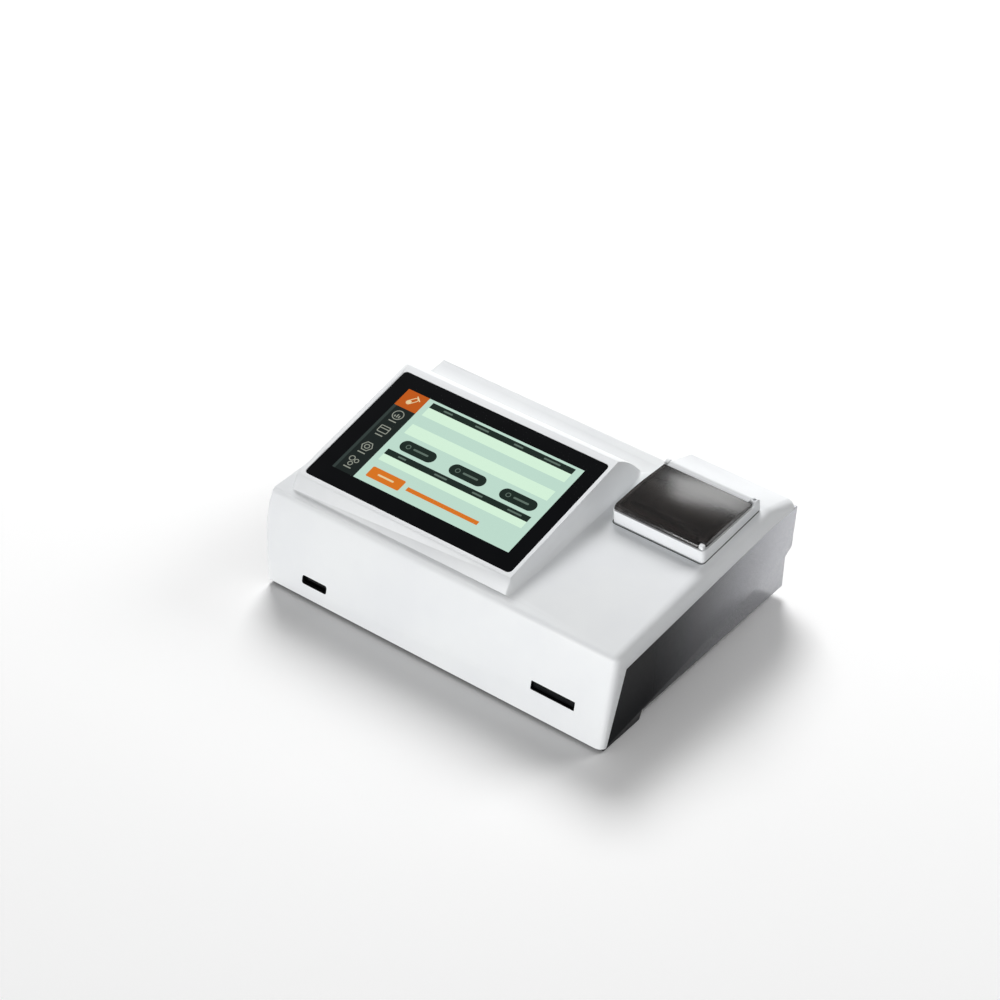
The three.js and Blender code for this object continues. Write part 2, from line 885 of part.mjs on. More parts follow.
// The housing's right flank sinks in a hollow curve from its top edge to the sloping top.
function flankSections(outline, edgeX, width) {
  const sections = [];
  for (let step = 0; step <= flankSteps; step += 1) {
    const turn = (Math.PI / 2) * (step / flankSteps);
    const heightShare = 1 - Math.sin(turn);
    const points = outline.map(([y, z]) => {
      const base = topHeight(y - frontY) - housingFlankSink * (step / flankSteps);
      return [y, z > base ? base + (z - base) * heightShare : z];
    });
    sections.push({ x: edgeX + width * (1 - Math.cos(turn)), points });
  }
  return sections;
}

function housingEnvelope() {
  const outline = housingOutline();
  const leftX = -bodyHalfWidth + housingSideInset;
  const sections = [];
  for (let step = 0; step < edgeSteps; step += 1) {
    const turn = (Math.PI / 2) * (step / edgeSteps);
    sections.push({
      x: leftX + housingEdgeRadius * (1 - Math.cos(turn)),
      points: insetOutline(outline, housingEdgeRadius * (1 - Math.sin(turn))),
    });
  }
  sections.push({ x: leftX + housingEdgeRadius, points: outline });
  sections.push(...flankSections(outline, housingTopEdgeX, housingFlankWidth));
  return loftX(sections);
}

function housingHollow() {
  const points = insetOutline(housingOutline(), coverWall).map(([y, z]) => (
    [y, z < creaseHeight - coverWall ? housingRootHeight - coverWall : z]
  ));
  return prismX(
    points,
    -bodyHalfWidth + housingSideInset + coverWall,
    housingTopEdgeX - coverWall,
  );
}

const screwPlaces = [
  [leftBossX, frontBossDepth],
  [bossX, frontBossDepth],
  [leftBossX, leftPartDepth - leftRearBossInset],
  [bossX, bodyDepth - rightRearBossInset],
];

// The front wall slot as an upright outline, cut through the sloping front wall.
function frontSlot(leftX, rightX, bottom, top, radius) {
  return prismY(
    radius === 0
      ? [[leftX, bottom], [rightX, bottom], [rightX, top], [leftX, top]]
      : roundedRectangle(leftX, bottom, rightX, top, radius),
    frontY - cutOverrun,
    frontY + partingCreaseDepth,
  );
}

// The seat of the cover glass and the opening under it, in the display's own frame.
function displayOpening() {
  const recess = prismZ(
    roundedRectangle(
      -seatGap,
      -seatGap,
      glassWidth + seatGap,
      glassLength + seatGap,
      glassCornerRadius + seatGap,
    ),
    -glassThickness - seatGap,
    cutOverrun,
  );
  const window = block(
    [glassLedgeWidth, glassLedgeWidth, -moduleThickness - cutOverrun],
    [glassWidth - glassLedgeWidth, glassLength - glassLedgeWidth, 0],
  );
  return join(recess, window);
}

// Extra wall under the glass, so that the seat has a ledge on all sides.
function displayLedge() {
  return block(
    [-glassLedgeThickness, -glassLedgeThickness, -glassThickness - seatGap - glassLedgeThickness],
    [glassWidth + glassLedgeThickness, glassLength + glassLedgeThickness, -seatGap],
  );
}

function printerOpening() {
  return block(
    [printerLeftX + bucketInset - seatGap, bucketInset - seatGap, -bodyDepth],
    [printerRightX - bucketInset + seatGap, hingeAlong - seatGap, cutOverrun],
  );
}

// Places a geometry drawn in a tilted group's frame into the reader's frame.
function placed(geometry, group) {
  group.updateMatrix();
  return geometry.applyMatrix4(group.matrix);
}

function buildTopCover() {
  const outer = cut(bodyEnvelope(), leftRearNotch(0));
  const envelope = join(outer, housingEnvelope());
  const hollow = cut(
    common(
      prismX(insetOutline(bodyOutline(), coverWall), -bodyWidth, bodyHalfWidth - coverWall),
      bulgeZone(coverWall),
    ),
    leftRearNotch(coverWall),
  );
  const shell = common(cut(envelope, hollow, housingHollow()), coverZone());
  const ledge = common(placed(displayLedge(), display), envelope);
  const bosses = screwPlaces.map(([x, depth]) => (
    common(rodZ(bossRadius, bossMeetHeight + seatGap, farAway, x, frontY + depth), envelope)
  ));
  const pilots = screwPlaces.map(([x, depth]) => rodZ(
    screwRadius + seatGap,
    0,
    screwSeatHeight + screwLength + seatGap,
    x,
    frontY + depth,
  ));
  return cut(
    join(shell, ledge, ...bosses),
    ...pilots,
    placed(displayOpening(), display),
    placed(printerOpening(), printer),
    frontSlot(cardSlotLeftX, cardSlotRightX, cardSlotBottom, cardSlotTop, 0),
    frontSlot(chipSlotLeftX, chipSlotRightX, chipSlotBottom, chipSlotTop, chipSlotRadius),
  );
}

// The dark case's rear and underside, from its rear top corner to the plinth, as side corners.
const caseUnderside = [
  [bodyDepth, partingRearHeight - partingGap],
  [bodyDepth - caseOverhangInset, caseOverhangHeight],
  [bodyDepth - caseTuckInset, caseTuckHeight],
  [bodyDepth - caseUnderInset, caseUnderHeight],
  [plinthSlopeDepth, caseUnderHeight],
  [plinthDepth, plinthHeight],
];

function caseOutline() {
  const lowered = partingLine.slice(1, -1).map(([depth, height]) => (
    [depth + partingGap, height - partingGap]
  ));
  return fromFront([
    [plinthToeDepth, plinthHeight],
    [plinthToeDepth, frontEdgeHeight - partingGap],
    [partingToeDepth + partingGap, frontEdgeHeight - partingGap],
    ...lowered,
    ...caseUnderside,
  ]);
}

// The case's hollow follows its outline at the wall's distance, and is open at the top.
function caseHollow() {
  return insetOutline(fromFront([
    [partingToeDepth + partingGap, plinthHeight],
    [partingCreaseDepth + partingGap, partingCreaseHeight],
    [partingCreaseDepth + partingGap, farAway],
    [bodyDepth, farAway],
    ...caseUnderside,
  ]), caseWall);
}

// Round posts that stand on the case's floor and carry a board by its corners.
function boardPosts(places, bottom, top) {
  return places.map(([x, y]) => rodZ(boardStandoffRadius, bottom, top, x, y));
}

function boardCorners(leftX, rightX, frontDepth, backDepth, inset) {
  return [
    [leftX + inset, frontY + frontDepth + inset],
    [rightX - inset, frontY + frontDepth + inset],
    [leftX + inset, frontY + backDepth - inset],
    [rightX - inset, frontY + backDepth - inset],
  ];
}

const mainboardBackDepth = panelFrontDepth - seatGap;
const chipBoardTop = chipSlotBottom - chipSocketWall;
const chipBoardBottom = chipBoardTop - boardThickness;
const chipBoardLeftX = chipSlotLeftX - chipSocketWall - chipBoardMargin;
const chipBoardRightX = chipSlotRightX + chipSocketWall + chipBoardMargin;

function buildLowerCase() {
  const half = bodyHalfWidth - caseSideInset;
  const outer = cut(
    common(prismX(caseOutline(), -bodyWidth, half), bulgeZone(caseSideInset)),
    leftRearNotch(0),
  );
  const innerBulge = bulgeZone(caseSideInset + caseWall);
  const hollow = cut(
    common(prismX(caseHollow(), -bodyWidth, half - caseWall), innerBulge),
    leftRearNotch(caseWall),
  );
  const frontOpening = common(
    block(
      [-bodyWidth, frontY, caseFrontLipHeight],
      [half - caseWall, frontY + partingCreaseDepth + caseWall, farAway],
    ),
    innerBulge,
  );
  const rearWindow = block(
    [panelLeftX + windowMargin, frontY + panelFrontDepth, windowBottomHeight],
    [panelRightX - windowMargin, frontY + leftPartDepth + cutOverrun, panelTopHeight - windowMargin],
  );
  const standoffs = screwPlaces.map(([x, depth]) => (
    rodZ(standoffRadius, caseUnderHeight, bossMeetHeight, x, frontY + depth)
  ));
  const screwWells = screwPlaces.flatMap(([x, depth]) => [
    rodZ(screwHeadRadius + seatGap, 0, screwSeatHeight, x, frontY + depth),
    rodZ(screwRadius + seatGap, 0, farAway, x, frontY + depth),
  ]);
  const mainPosts = boardPosts(
    boardCorners(
      mainboardLeftX,
      mainboardRightX,
      mainboardFrontDepth,
      mainboardBackDepth,
      mainboardStandoffInset,
    ),
    caseUnderHeight,
    boardBottom,
  );
  const supplyPosts = boardPosts(
    boardCorners(
      supplyLeftX,
      supplyRightX,
      supplyFrontDepth,
      supplyBackDepth,
      mainboardStandoffInset,
    ),
    caseUnderHeight,
    boardBottom,
  );
  const chipPosts = boardPosts(
    [
      [chipBoardLeftX + boardStandoffRadius, frontY + chipBoardFrontDepth + chipBoardLength / 2],
      [chipBoardRightX - boardStandoffRadius, frontY + chipBoardFrontDepth + chipBoardLength / 2],
    ],
    plinthHeight,
    chipBoardBottom,
  );
  return cut(
    join(
      cut(outer, hollow, frontOpening, rearWindow),
      ...standoffs,
      ...mainPosts,
      ...supplyPosts,
      ...chipPosts,
    ),
    ...screwWells,
  );
}

function addCase() {
  addPiece('top_cover', buildTopCover(), 'white');
  addPiece('lower_case', buildLowerCase(), 'dark');
  screwPlaces.forEach(([x, depth], index) => {
    const headTop = screwSeatHeight - seatGap;
    const screw = join(
      rodZ(screwHeadRadius, headTop - screwHeadLength, headTop, x, frontY + depth),
      rodZ(screwRadius, headTop - screwHeadLength / 2, screwSeatHeight + screwLength, x, frontY + depth),
    );
    addPiece(`case_screw_${index + 1}`, screw, 'steel');
  });
}

function addFeet() {
  for (const [side, padX, footX] of [['left', leftPadX, leftFootX], ['right', rightPadX, rightFootX]]) {
    const pad = prismZ(
      roundedRectangle(
        padX - frontPadLength / 2,
        frontY + frontPadDepth - frontPadWidth / 2,
        padX + frontPadLength / 2,
        frontY + frontPadDepth + frontPadWidth / 2,
        frontPadCornerRadius,
      ),
      0,
      plinthHeight,
    );
    addPiece(`front_pad_${side}`, pad, 'rubber');
    const foot = new THREE.CylinderGeometry(
      rearFootRadius,
      rearFootRadius - rearFootTaper,
      caseUnderHeight,
      largeSides,
    );
    foot.rotateX(Math.PI / 2);
    foot.translate(footX, frontY + rearFootDepth, caseUnderHeight / 2);
    addPiece(`rear_foot_${side}`, foot, 'rubber');
  }
}

const moduleTop = -glassThickness - seatGap;
const moduleBottom = moduleTop - moduleThickness;
const bracketTop = moduleBottom - seatGap;
const bracketBottom = bracketTop - bracketThickness;
const displayBoardTop = bracketBottom - displayPostHeight;
const displayBoardBottom = displayBoardTop - boardThickness;
const displayBoardLeft = (glassWidth - displayBoardWidth) / 2;
const displayBoardFront = (glassLength - displayBoardLength) / 2;
const displayConnectorCentre = displayBoardFront + displayConnectorSetback;

function addDisplay() {
  const glass = prismZ(
    roundedRectangle(0, 0, glassWidth, glassLength, glassCornerRadius),
    -glassThickness,
    0,
  );
  addPiece('display_glass', glass, 'glass', display);

  const panel = block(
    [moduleSideMargin, moduleEndMargin, moduleBottom],
    [moduleSideMargin + moduleWidth, moduleEndMargin + moduleLength, moduleTop],
  );
  addPiece('display_module', panel, 'steel', display);

  const margin = bracketMargin + seatGap;
  const tray = cut(
    block(
      [moduleSideMargin - margin, moduleEndMargin - margin, bracketBottom],
      [
        moduleSideMargin + moduleWidth + margin,
        moduleEndMargin + moduleLength + margin,
        bracketTop + bracketRimHeight,
      ],
    ),
    block(
      [moduleSideMargin - seatGap, moduleEndMargin - seatGap, bracketTop],
      [moduleSideMargin + moduleWidth + seatGap, moduleEndMargin + moduleLength + seatGap, cutOverrun],
    ),
    block(
      [(glassWidth - bracketWindowWidth) / 2, (glassLength - bracketWindowLength) / 2, -farAway],
      [(glassWidth + bracketWindowWidth) / 2, (glassLength + bracketWindowLength) / 2, cutOverrun],
    ),
  );
  const postPlaces = [0, 1].flatMap((right) => [0, 1].map((back) => [
    displayBoardLeft + displayPostInset + right * (displayBoardWidth - 2 * displayPostInset),
    displayBoardFront + displayPostInset + back * (displayBoardLength - 2 * displayPostInset),
  ]));
  const posts = postPlaces.map(([x, y]) => (
    rodZ(displayPostRadius, displayBoardTop, bracketTop, x, y)
  ));
  addPiece('display_bracket', join(tray, ...posts), 'steel', display);

  const board = join(
    block(
      [displayBoardLeft, displayBoardFront, displayBoardBottom],
      [
        displayBoardLeft + displayBoardWidth,
        displayBoardFront + displayBoardLength,
        displayBoardTop,
      ],
    ),
    displayConnector(),
    block(
      [
        glassWidth / 2 + displayChipOffset - displayChipSize / 2,
        (glassLength - displayChipSize) / 2,
        displayBoardBottom - displayChipHeight,
      ],
      [
        glassWidth / 2 + displayChipOffset + displayChipSize / 2,
        (glassLength + displayChipSize) / 2,
        displayBoardTop - boardThickness / 2,
      ],
    ),
  );
  addPiece('display_board', board, 'board', display);
}

// The ribbon socket on the underside of the display board.
function displayConnector() {
  const centreX = ribbonSocketX - glassLeftX;
  return block(
    [
      centreX - displayConnectorWidth / 2,
      displayConnectorCentre - displayConnectorLength / 2,
      displayBoardBottom - displayConnectorHeight,
    ],
    [
      centreX + displayConnectorWidth / 2,
      displayConnectorCentre + displayConnectorLength / 2,
      displayBoardTop - boardThickness / 2,
    ],
  );
}

// A flat ribbon that hangs from the display board in a loose bend and stands on the mainboard.
function addRibbon() {
  display.updateMatrix();
  const startDrop = displayBoardBottom - displayConnectorHeight - seatGap - ribbonThickness / 2;
  const start = new THREE.Vector3(0, displayConnectorCentre, startDrop).applyMatrix4(display.matrix);
  const endHeight = boardTop + ribbonSocketHeight + seatGap;
  const path = new THREE.CubicBezierCurve(
    new THREE.Vector2(start.y, start.z),
    new THREE.Vector2(start.y, start.z - ribbonBend),
    new THREE.Vector2(frontY + ribbonSocketDepth, endHeight + ribbonBend),
    new THREE.Vector2(frontY + ribbonSocketDepth, endHeight),
  );
  const centre = path.getPoints(ribbonSteps);
  const sideOf = (sign) => centre.map((point, index) => {
    const tangent = path.getTangent(index / ribbonSteps);
    const reach = (sign * ribbonThickness) / 2;
    return [point.x - tangent.y * reach, point.y + tangent.x * reach];
  });
  const outline = [...sideOf(1), ...sideOf(-1).reverse()];
  const ribbon = prismX(outline, ribbonSocketX - ribbonWidth / 2, ribbonSocketX + ribbonWidth / 2);
  addPiece('display_ribbon', ribbon, 'film');
}

// A plain component block that stands on a board.
function component(x, depth, width, length, height) {
  return block(
    [x - width / 2, frontY + depth - length / 2, boardTop - boardThickness / 2],
    [x + width / 2, frontY + depth + length / 2, boardTop + height],
  );
}

function addMainboard() {
  const fins = [];
  for (let index = 0; index < heatSinkFinCount; index += 1) {
    const share = index / (heatSinkFinCount - 1) - 1 / 2;
    fins.push(component(
      processorX + share * (heatSinkSize - heatSinkFin),
      processorDepth,
      heatSinkFin,
      heatSinkSize,
      heatSinkHeight,
    ));
  }
  const sinkBase = block(
    [
      processorX - heatSinkSize / 2,
      frontY + processorDepth - heatSinkSize / 2,
      boardTop + processorHeight,
    ],
    [
      processorX + heatSinkSize / 2,
      frontY + processorDepth + heatSinkSize / 2,
      boardTop + processorHeight + heatSinkBase,
    ],
  );
  const board = join(
    block(
      [mainboardLeftX, frontY + mainboardFrontDepth, boardBottom],
      [mainboardRightX, frontY + mainboardBackDepth, boardTop],
    ),
    component(processorX, processorDepth, processorSize, processorSize, processorHeight + heatSinkBase / 2),
    sinkBase,
    ...fins,
    component(
      ribbonSocketX,
      ribbonSocketDepth,
      displayConnectorWidth,
      ribbonSocketLength,
      ribbonSocketHeight,
    ),
    component(headerX, headerDepth, headerWidth, headerLength, headerHeight),
    rodZ(
      coinCellRadius,
      boardTop - boardThickness / 2,
      boardTop + coinCellHeight,
      coinCellX,
      frontY + coinCellDepth,
    ),
    rodZ(
      buzzerRadius,
      boardTop - boardThickness / 2,
      boardTop + buzzerHeight,
      buzzerX,
      frontY + buzzerDepth,
    ),
  );
  addPiece('mainboard', board, 'board');
}

function addPowerSupply() {
  const centreX = (supplyLeftX + supplyRightX) / 2;
  const board = join(
    block(
      [supplyLeftX, frontY + supplyFrontDepth, boardBottom],
      [supplyRightX, frontY + supplyBackDepth, boardTop],
    ),
    component(centreX, supplyMiddleDepth, transformerWidth, transformerLength, transformerHeight),
    component(supplySinkX, supplyMiddleDepth, supplySinkWidth, supplySinkLength, supplySinkHeight),
    rodZ(
      capacitorRadius,
      boardTop - boardThickness / 2,
      boardTop + capacitorHeight,
      capacitorX,
      frontY + capacitorDepth,
    ),
  );
  addPiece('power_supply', board, 'board');
}

// A block given by its middle in X and Z and by its ends in depth.
function socketBlock(x, height, width, tall, frontDepth, backDepth) {
  return block(
    [x - width / 2, frontY + frontDepth, height - tall / 2],
    [x + width / 2, frontY + backDepth, height + tall / 2],
  );
}

const socketFaceDepth = panelBackDepth + socketProtrusion;
const ethernetMiddle = boardTop + ethernetHeight / 2;
const usbMiddle = boardTop + usbHeight / 2;
const serialMiddle = boardTop + serialFlangeHeight / 2;

function addRearPanel() {
  const plate = block(
    [panelLeftX, frontY + panelFrontDepth, floorTop + seatGap],
    [panelRightX, frontY + panelBackDepth, panelTopHeight],
  );
  const hole = (x, height, width, tall) => socketBlock(
    x,
    height,
    width + 2 * seatGap,
    tall + 2 * seatGap,
    panelFrontDepth - cutOverrun,
    panelBackDepth + cutOverrun,
  );
  const vents = [];
  for (let index = 0; index < ventCount; index += 1) {
    const x = ventCentreX + (index - (ventCount - 1) / 2) * ventPitch;
    vents.push(hole(x, ventBottomHeight + ventHeight / 2, ventWidth, ventHeight));
  }
  const panel = cut(
    plate,
    hole(inletX, inletHeight, inletBodyWidth, inletBodyHeight),
    hole(
      rockerX,
      inletHeight,
      rockerWellWidth + 2 * rockerWallThickness,
      rockerWellHeight + 2 * rockerWallThickness,
    ),
    hole(ethernetX, ethernetMiddle, ethernetWidth, ethernetHeight),
    hole(usbX, usbMiddle, usbWidth, usbHeight),
    hole(serialX, serialMiddle, serialShellWidth, serialShellHeight),
    ...vents,
  );
  addPiece('rear_panel', panel, 'dark');
}

function addPowerInlet() {
  const bezelFront = panelBackDepth + seatGap;
  const bezelBack = bezelFront + inletBezelThickness;
  const mouth = socketBlock(
    inletX,
    inletHeight,
    inletMouthWidth,
    inletMouthHeight,
    bezelBack - inletMouthLength,
    bezelBack + cutOverrun,
  );
  const pin = (x, height) => socketBlock(
    x,
    height,
    inletPinWidth,
    inletPinHeight,
    bezelBack - inletMouthLength - inletPinWidth,
    bezelBack - inletMouthLength + inletPinLength,
  );
  const inlet = join(
    cut(
      join(
        socketBlock(inletX, inletHeight, inletBezelWidth, inletBezelHeight, bezelFront, bezelBack),
        socketBlock(
          inletX,
          inletHeight,
          inletBodyWidth,
          inletBodyHeight,
          panelBackDepth - inletBodyLength,
          bezelBack,
        ),
      ),
      mouth,
    ),
    pin(inletX - inletPinSpread, inletHeight - inletPinDrop),
    pin(inletX, inletHeight + inletPinDrop),
    pin(inletX + inletPinSpread, inletHeight - inletPinDrop),
  );
  addPiece('power_inlet', inlet, 'black');
}

function addRockerSwitch() {
  const bezelFront = panelBackDepth + seatGap;
  const bezelBack = bezelFront + inletBezelThickness;
  const body = cut(
    join(
      socketBlock(rockerX, inletHeight, rockerBezelWidth, rockerBezelHeight, bezelFront, bezelBack),
      socketBlock(
        rockerX,
        inletHeight,
        rockerWellWidth + 2 * rockerWallThickness,
        rockerWellHeight + 2 * rockerWallThickness,
        panelBackDepth - rockerBodyLength,
        bezelBack,
      ),
    ),
    socketBlock(
      rockerX,
      inletHeight,
      rockerWellWidth,
      rockerWellHeight,
      bezelBack - rockerWellLength,
      bezelBack + cutOverrun,
    ),
  );
  addPiece('rocker_switch_body', body, 'black');

  const rocker = prismX(
    [
      [rockerEdgeRise, -rockerHalfHeight],
      [rockerMiddleRise, 0],
      [rockerEdgeRise, rockerHalfHeight],
      [-rockerBackDrop, rockerBackHalfHeight],
      [-rockerBackDrop, -rockerBackHalfHeight],
    ],
    -rockerWidth / 2,
    rockerWidth / 2,
  );
  rocker.rotateX(THREE.MathUtils.degToRad(-rockerTiltDegrees));
  rocker.translate(rockerX, frontY + bezelBack - rockerPivotDepth, inletHeight);
  addPiece('power_rocker', rocker, 'black');
}

function addDataSockets() {
  const mouthBack = socketFaceDepth + cutOverrun;
  const ethernet = cut(
    socketBlock(
      ethernetX,
      ethernetMiddle,
      ethernetWidth,
      ethernetHeight,
      socketFaceDepth - ethernetLength,
      socketFaceDepth,
    ),
    socketBlock(
      ethernetX,
      boardTop + ethernetMouthRise + ethernetMouthHeight / 2,
      ethernetMouthWidth,
      ethernetMouthHeight,
      socketFaceDepth - ethernetMouthLength,
      mouthBack,
    ),
  );
  addPiece('ethernet_socket', ethernet, 'steel');

  const usbMouth = (sign) => socketBlock(
    usbX,
    usbMiddle + (sign * usbMouthPitch) / 2,
    usbMouthWidth,
    usbMouthHeight,
    socketFaceDepth - usbMouthLength,
    mouthBack,
  );
  const usb = cut(
    socketBlock(usbX, usbMiddle, usbWidth, usbHeight, socketFaceDepth - usbLength, socketFaceDepth),
    usbMouth(-1),
    usbMouth(1),
  );
  addPiece('usb_socket', usb, 'steel');

  const shellHalf = serialShellWidth / 2;
  const shellSlant = serialShellWidth * serialShellSlantShare;
  const shellTop = serialMiddle + serialShellHeight / 2;
  const shellBottom = serialMiddle - serialShellHeight / 2;
  const flangeBack = panelFrontDepth - seatGap;
  const shell = prismY(
    [
      [serialX - shellHalf + shellSlant, shellBottom],
      [serialX + shellHalf - shellSlant, shellBottom],
      [serialX + shellHalf, shellTop],
      [serialX - shellHalf, shellTop],
    ],
    frontY + flangeBack - serialFlangeThickness / 2,
    frontY + flangeBack + serialShellLength,
  );
  const serial = join(
    socketBlock(
      serialX,
      serialMiddle,
      serialFlangeWidth,
      serialFlangeHeight,
      flangeBack - serialFlangeThickness,
      flangeBack,
    ),
    socketBlock(
      serialX,
      serialMiddle,
      serialBodyWidth,
      serialFlangeHeight,
      flangeBack - serialBodyLength,
      flangeBack - serialFlangeThickness / 2,
    ),
    shell,
  );
  addPiece('serial_socket', serial, 'steel');
}

function addChipReader() {
  const socket = cut(
    block(
      [
        chipSlotLeftX - chipSocketWall,
        frontY + chipSocketFrontDepth,
        chipSlotBottom - chipSocketWall,
      ],
      [
        chipSlotRightX + chipSocketWall,
        frontY + chipSocketFrontDepth + chipSocketLength,
        chipSlotTop + chipSocketWall,
      ],
    ),
    block(
      [chipSlotLeftX + chipMouthMargin, frontY, chipSlotBottom + chipMouthMargin],
      [
        chipSlotRightX - chipMouthMargin,
        frontY + chipSocketFrontDepth + chipMouthLength,
        chipSlotTop - chipMouthMargin,
      ],
    ),
  );
  addPiece('chip_socket', socket, 'black');
  const board = block(
    [chipBoardLeftX, frontY + chipBoardFrontDepth, chipBoardBottom],
    [chipBoardRightX, frontY + chipBoardFrontDepth + chipBoardLength, chipBoardTop],
  );
  addPiece('chip_board', board, 'board');
}

const trayLeftX = cardSlotLeftX + traySideGap;
const trayRightX = cardSlotRightX - traySideGap;
const trayBottom = cardSlotBottom + trayBottomGap;
const trayTop = cardSlotTop - trayTopGap;
const trayBackDepth = trayFrontDepth + trayLength;
const pinionRadius = (driveModule * pinionTeeth) / 2;
const rackPitchX = trayRightX - toothAddendumShare * driveModule;
const rackRootX = rackPitchX - toothDedendumShare * driveModule;
const pinionX = rackPitchX + pinionRadius;
const pinionTipRadius = pinionRadius + toothAddendumShare * driveModule;
const guideTop = trayBottom - guideClearance;
const guideBottom = guideTop - guideFloor;
const guideLipBottom = trayTop + seatGap;
const guideLipTop = guideLipBottom + guideLipThickness;
const guideLeftX = trayLeftX - guideClearance - guideWall;
const guideRightX = trayRightX + guideClearance + guideWall;
const guideBackDepth = trayBackDepth + guideBackMargin;

// Corners of one tooth, as [along, outwards] pairs from the pitch line.
function toothCorners(module) {
  const root = -toothDedendumShare * module;
  const tip = toothAddendumShare * module;
  return [
    [-toothRootHalfShare * module, root],
    [-toothTipHalfShare * module, tip],
    [toothTipHalfShare * module, tip],
    [toothRootHalfShare * module, root],
  ];
}

// A spur gear's outline round a centre, with one tooth at the phase angle.
function gearOutline(teeth, module, phase, centreU, centreV) {
  const pitchRadius = (module * teeth) / 2;
  const points = [];
  for (let tooth = 0; tooth < teeth; tooth += 1) {
    const middle = phase + (2 * Math.PI * tooth) / teeth;
    for (const [along, outwards] of toothCorners(module)) {
      const radius = pitchRadius + outwards;
      const angle = middle + along / radius;
      points.push([centreU + radius * Math.cos(angle), centreV + radius * Math.sin(angle)]);
    }
  }
  return points;
}

// The phase of a gear that meshes with a driven one lying in the given direction from it.
function meshingPhase(phase, teeth, direction, otherTeeth) {
  const pitchAngle = (2 * Math.PI) / teeth;
  const offset = (((direction - phase) % pitchAngle) + pitchAngle) % pitchAngle;
  return direction + Math.PI + (offset * teeth) / otherTeeth + Math.PI / otherTeeth;
}

// The tray's toothed right edge, with a gap between teeth beside the pinion's middle at rest.
function rackStrip() {
  const pitch = Math.PI * driveModule;
  const reach = pinionTipRadius;
  const toothCount = Math.floor((trayTravel + 2 * reach) / pitch);
  const firstDepth = pinionDepth - reach;
  const firstTooth = Math.ceil((firstDepth - pinionDepth) / pitch) + 1 / 2;
  const points = [];
  for (let tooth = 0; tooth < toothCount; tooth += 1) {
    const middle = frontY + pinionDepth + (firstTooth + tooth) * pitch;
    for (const [along, outwards] of toothCorners(driveModule)) {
      points.push([rackPitchX + outwards, middle + along]);
    }
  }
  const first = points[0];
  const last = points[points.length - 1];
  return prismZ(
    [
      [first[0] - driveModule, first[1] - driveModule],
      [first[0], first[1] - driveModule],
      ...points,
      [last[0], last[1] + driveModule],
      [last[0] - driveModule, last[1] + driveModule],
    ],
    trayBottom,
    trayTop,
  );
}

function addTray() {
  const centreX = opticX;
  const body = block(
    [trayLeftX, frontY + trayFrontDepth, trayBottom],
    [rackRootX, frontY + trayBackDepth, trayTop],
  );
  const frontBlock = block(
    [rackRootX - driveModule, frontY + trayFrontDepth, trayBottom],
    [trayRightX, frontY + trayFrontDepth + trayRecessFront, trayTop],
  );
  const recess = block(
    [
      centreX - trayRecessWidth / 2,
      frontY + trayFrontDepth + trayRecessFront,
      trayBottom + trayFloor,
    ],
    [
      centreX + trayRecessWidth / 2,
      frontY + trayFrontDepth + trayRecessFront + trayRecessLength,
      trayTop + cutOverrun,
    ],
  );
  const flag = block(
    [
      centreX - trayFlagWidth / 2,
      frontY + trayBackDepth - trayFlagLength,
      trayTop - trayFlagHeight,
    ],
    [centreX + trayFlagWidth / 2, frontY + trayBackDepth + trayFlagLength, trayTop],
  );
  addPiece('card_tray', join(cut(body, recess), frontBlock, rackStrip(), flag), 'black');
}

function addGuide() {
  const leftFloor = block(
    [guideLeftX, frontY + guideFrontDepth, guideBottom],
    [guideRightX, frontY + guideBackDepth, guideTop],
  );
  const shelfFront = frontY + pinionDepth - motorPostSpread - guideShelfMargin;
  const shelfBack = frontY + pinionDepth + motorPostSpread + guideShelfMargin;
  const shelf = block(
    [guideRightX - guideWall, shelfFront, guideBottom],
    [guideRightX + guideShelfWidth, shelfBack, guideTop],
  );
  const wall = (fromX, toX) => block(
    [fromX, frontY + guideFrontDepth, guideBottom],
    [toX, frontY + guideBackDepth, guideLipTop],
  );
  const lip = (fromX, toX) => block(
    [fromX, frontY + guideFrontDepth, guideLipBottom],
    [toX, frontY + guideBackDepth, guideLipTop],
  );
  const leg = (x) => block(
    [x - guideLegWidth / 2, frontY + guideLegFront, floorTop],
    [x + guideLegWidth / 2, frontY + guideBackDepth, guideTop],
  );
  const posts = [-1, 1].map((sign) => rodZ(
    motorPostRadius,
    guideBottom,
    guideLipTop,
    pinionX,
    frontY + pinionDepth + sign * motorPostSpread,
  ));
  const pinionWindow = block(
    [
      trayRightX - guideLipReach - guideWall,
      frontY + pinionDepth - pinionTipRadius - pinionWindowMargin,
      guideTop,
    ],
    [
      guideRightX + seatGap,
      frontY + pinionDepth + pinionTipRadius + pinionWindowMargin,
      guideLipTop + cutOverrun,
    ],
  );
  const leftLipEdge = trayLeftX + guideLipReach;
  const rightLipEdge = trayRightX - guideLipReach;
  const guide = join(
    cut(
      join(
        leftFloor,
        wall(guideLeftX, guideLeftX + guideWall),
        wall(guideRightX - guideWall, guideRightX),
        lip(guideLeftX, leftLipEdge),
        lip(rightLipEdge, guideRightX),
      ),
      pinionWindow,
    ),
    shelf,
    leg(guideLeftX + guideLegInset),
    leg(guideRightX - guideLegInset),
    ...posts,
  );
  addPiece('tray_guide', guide, 'black');
}

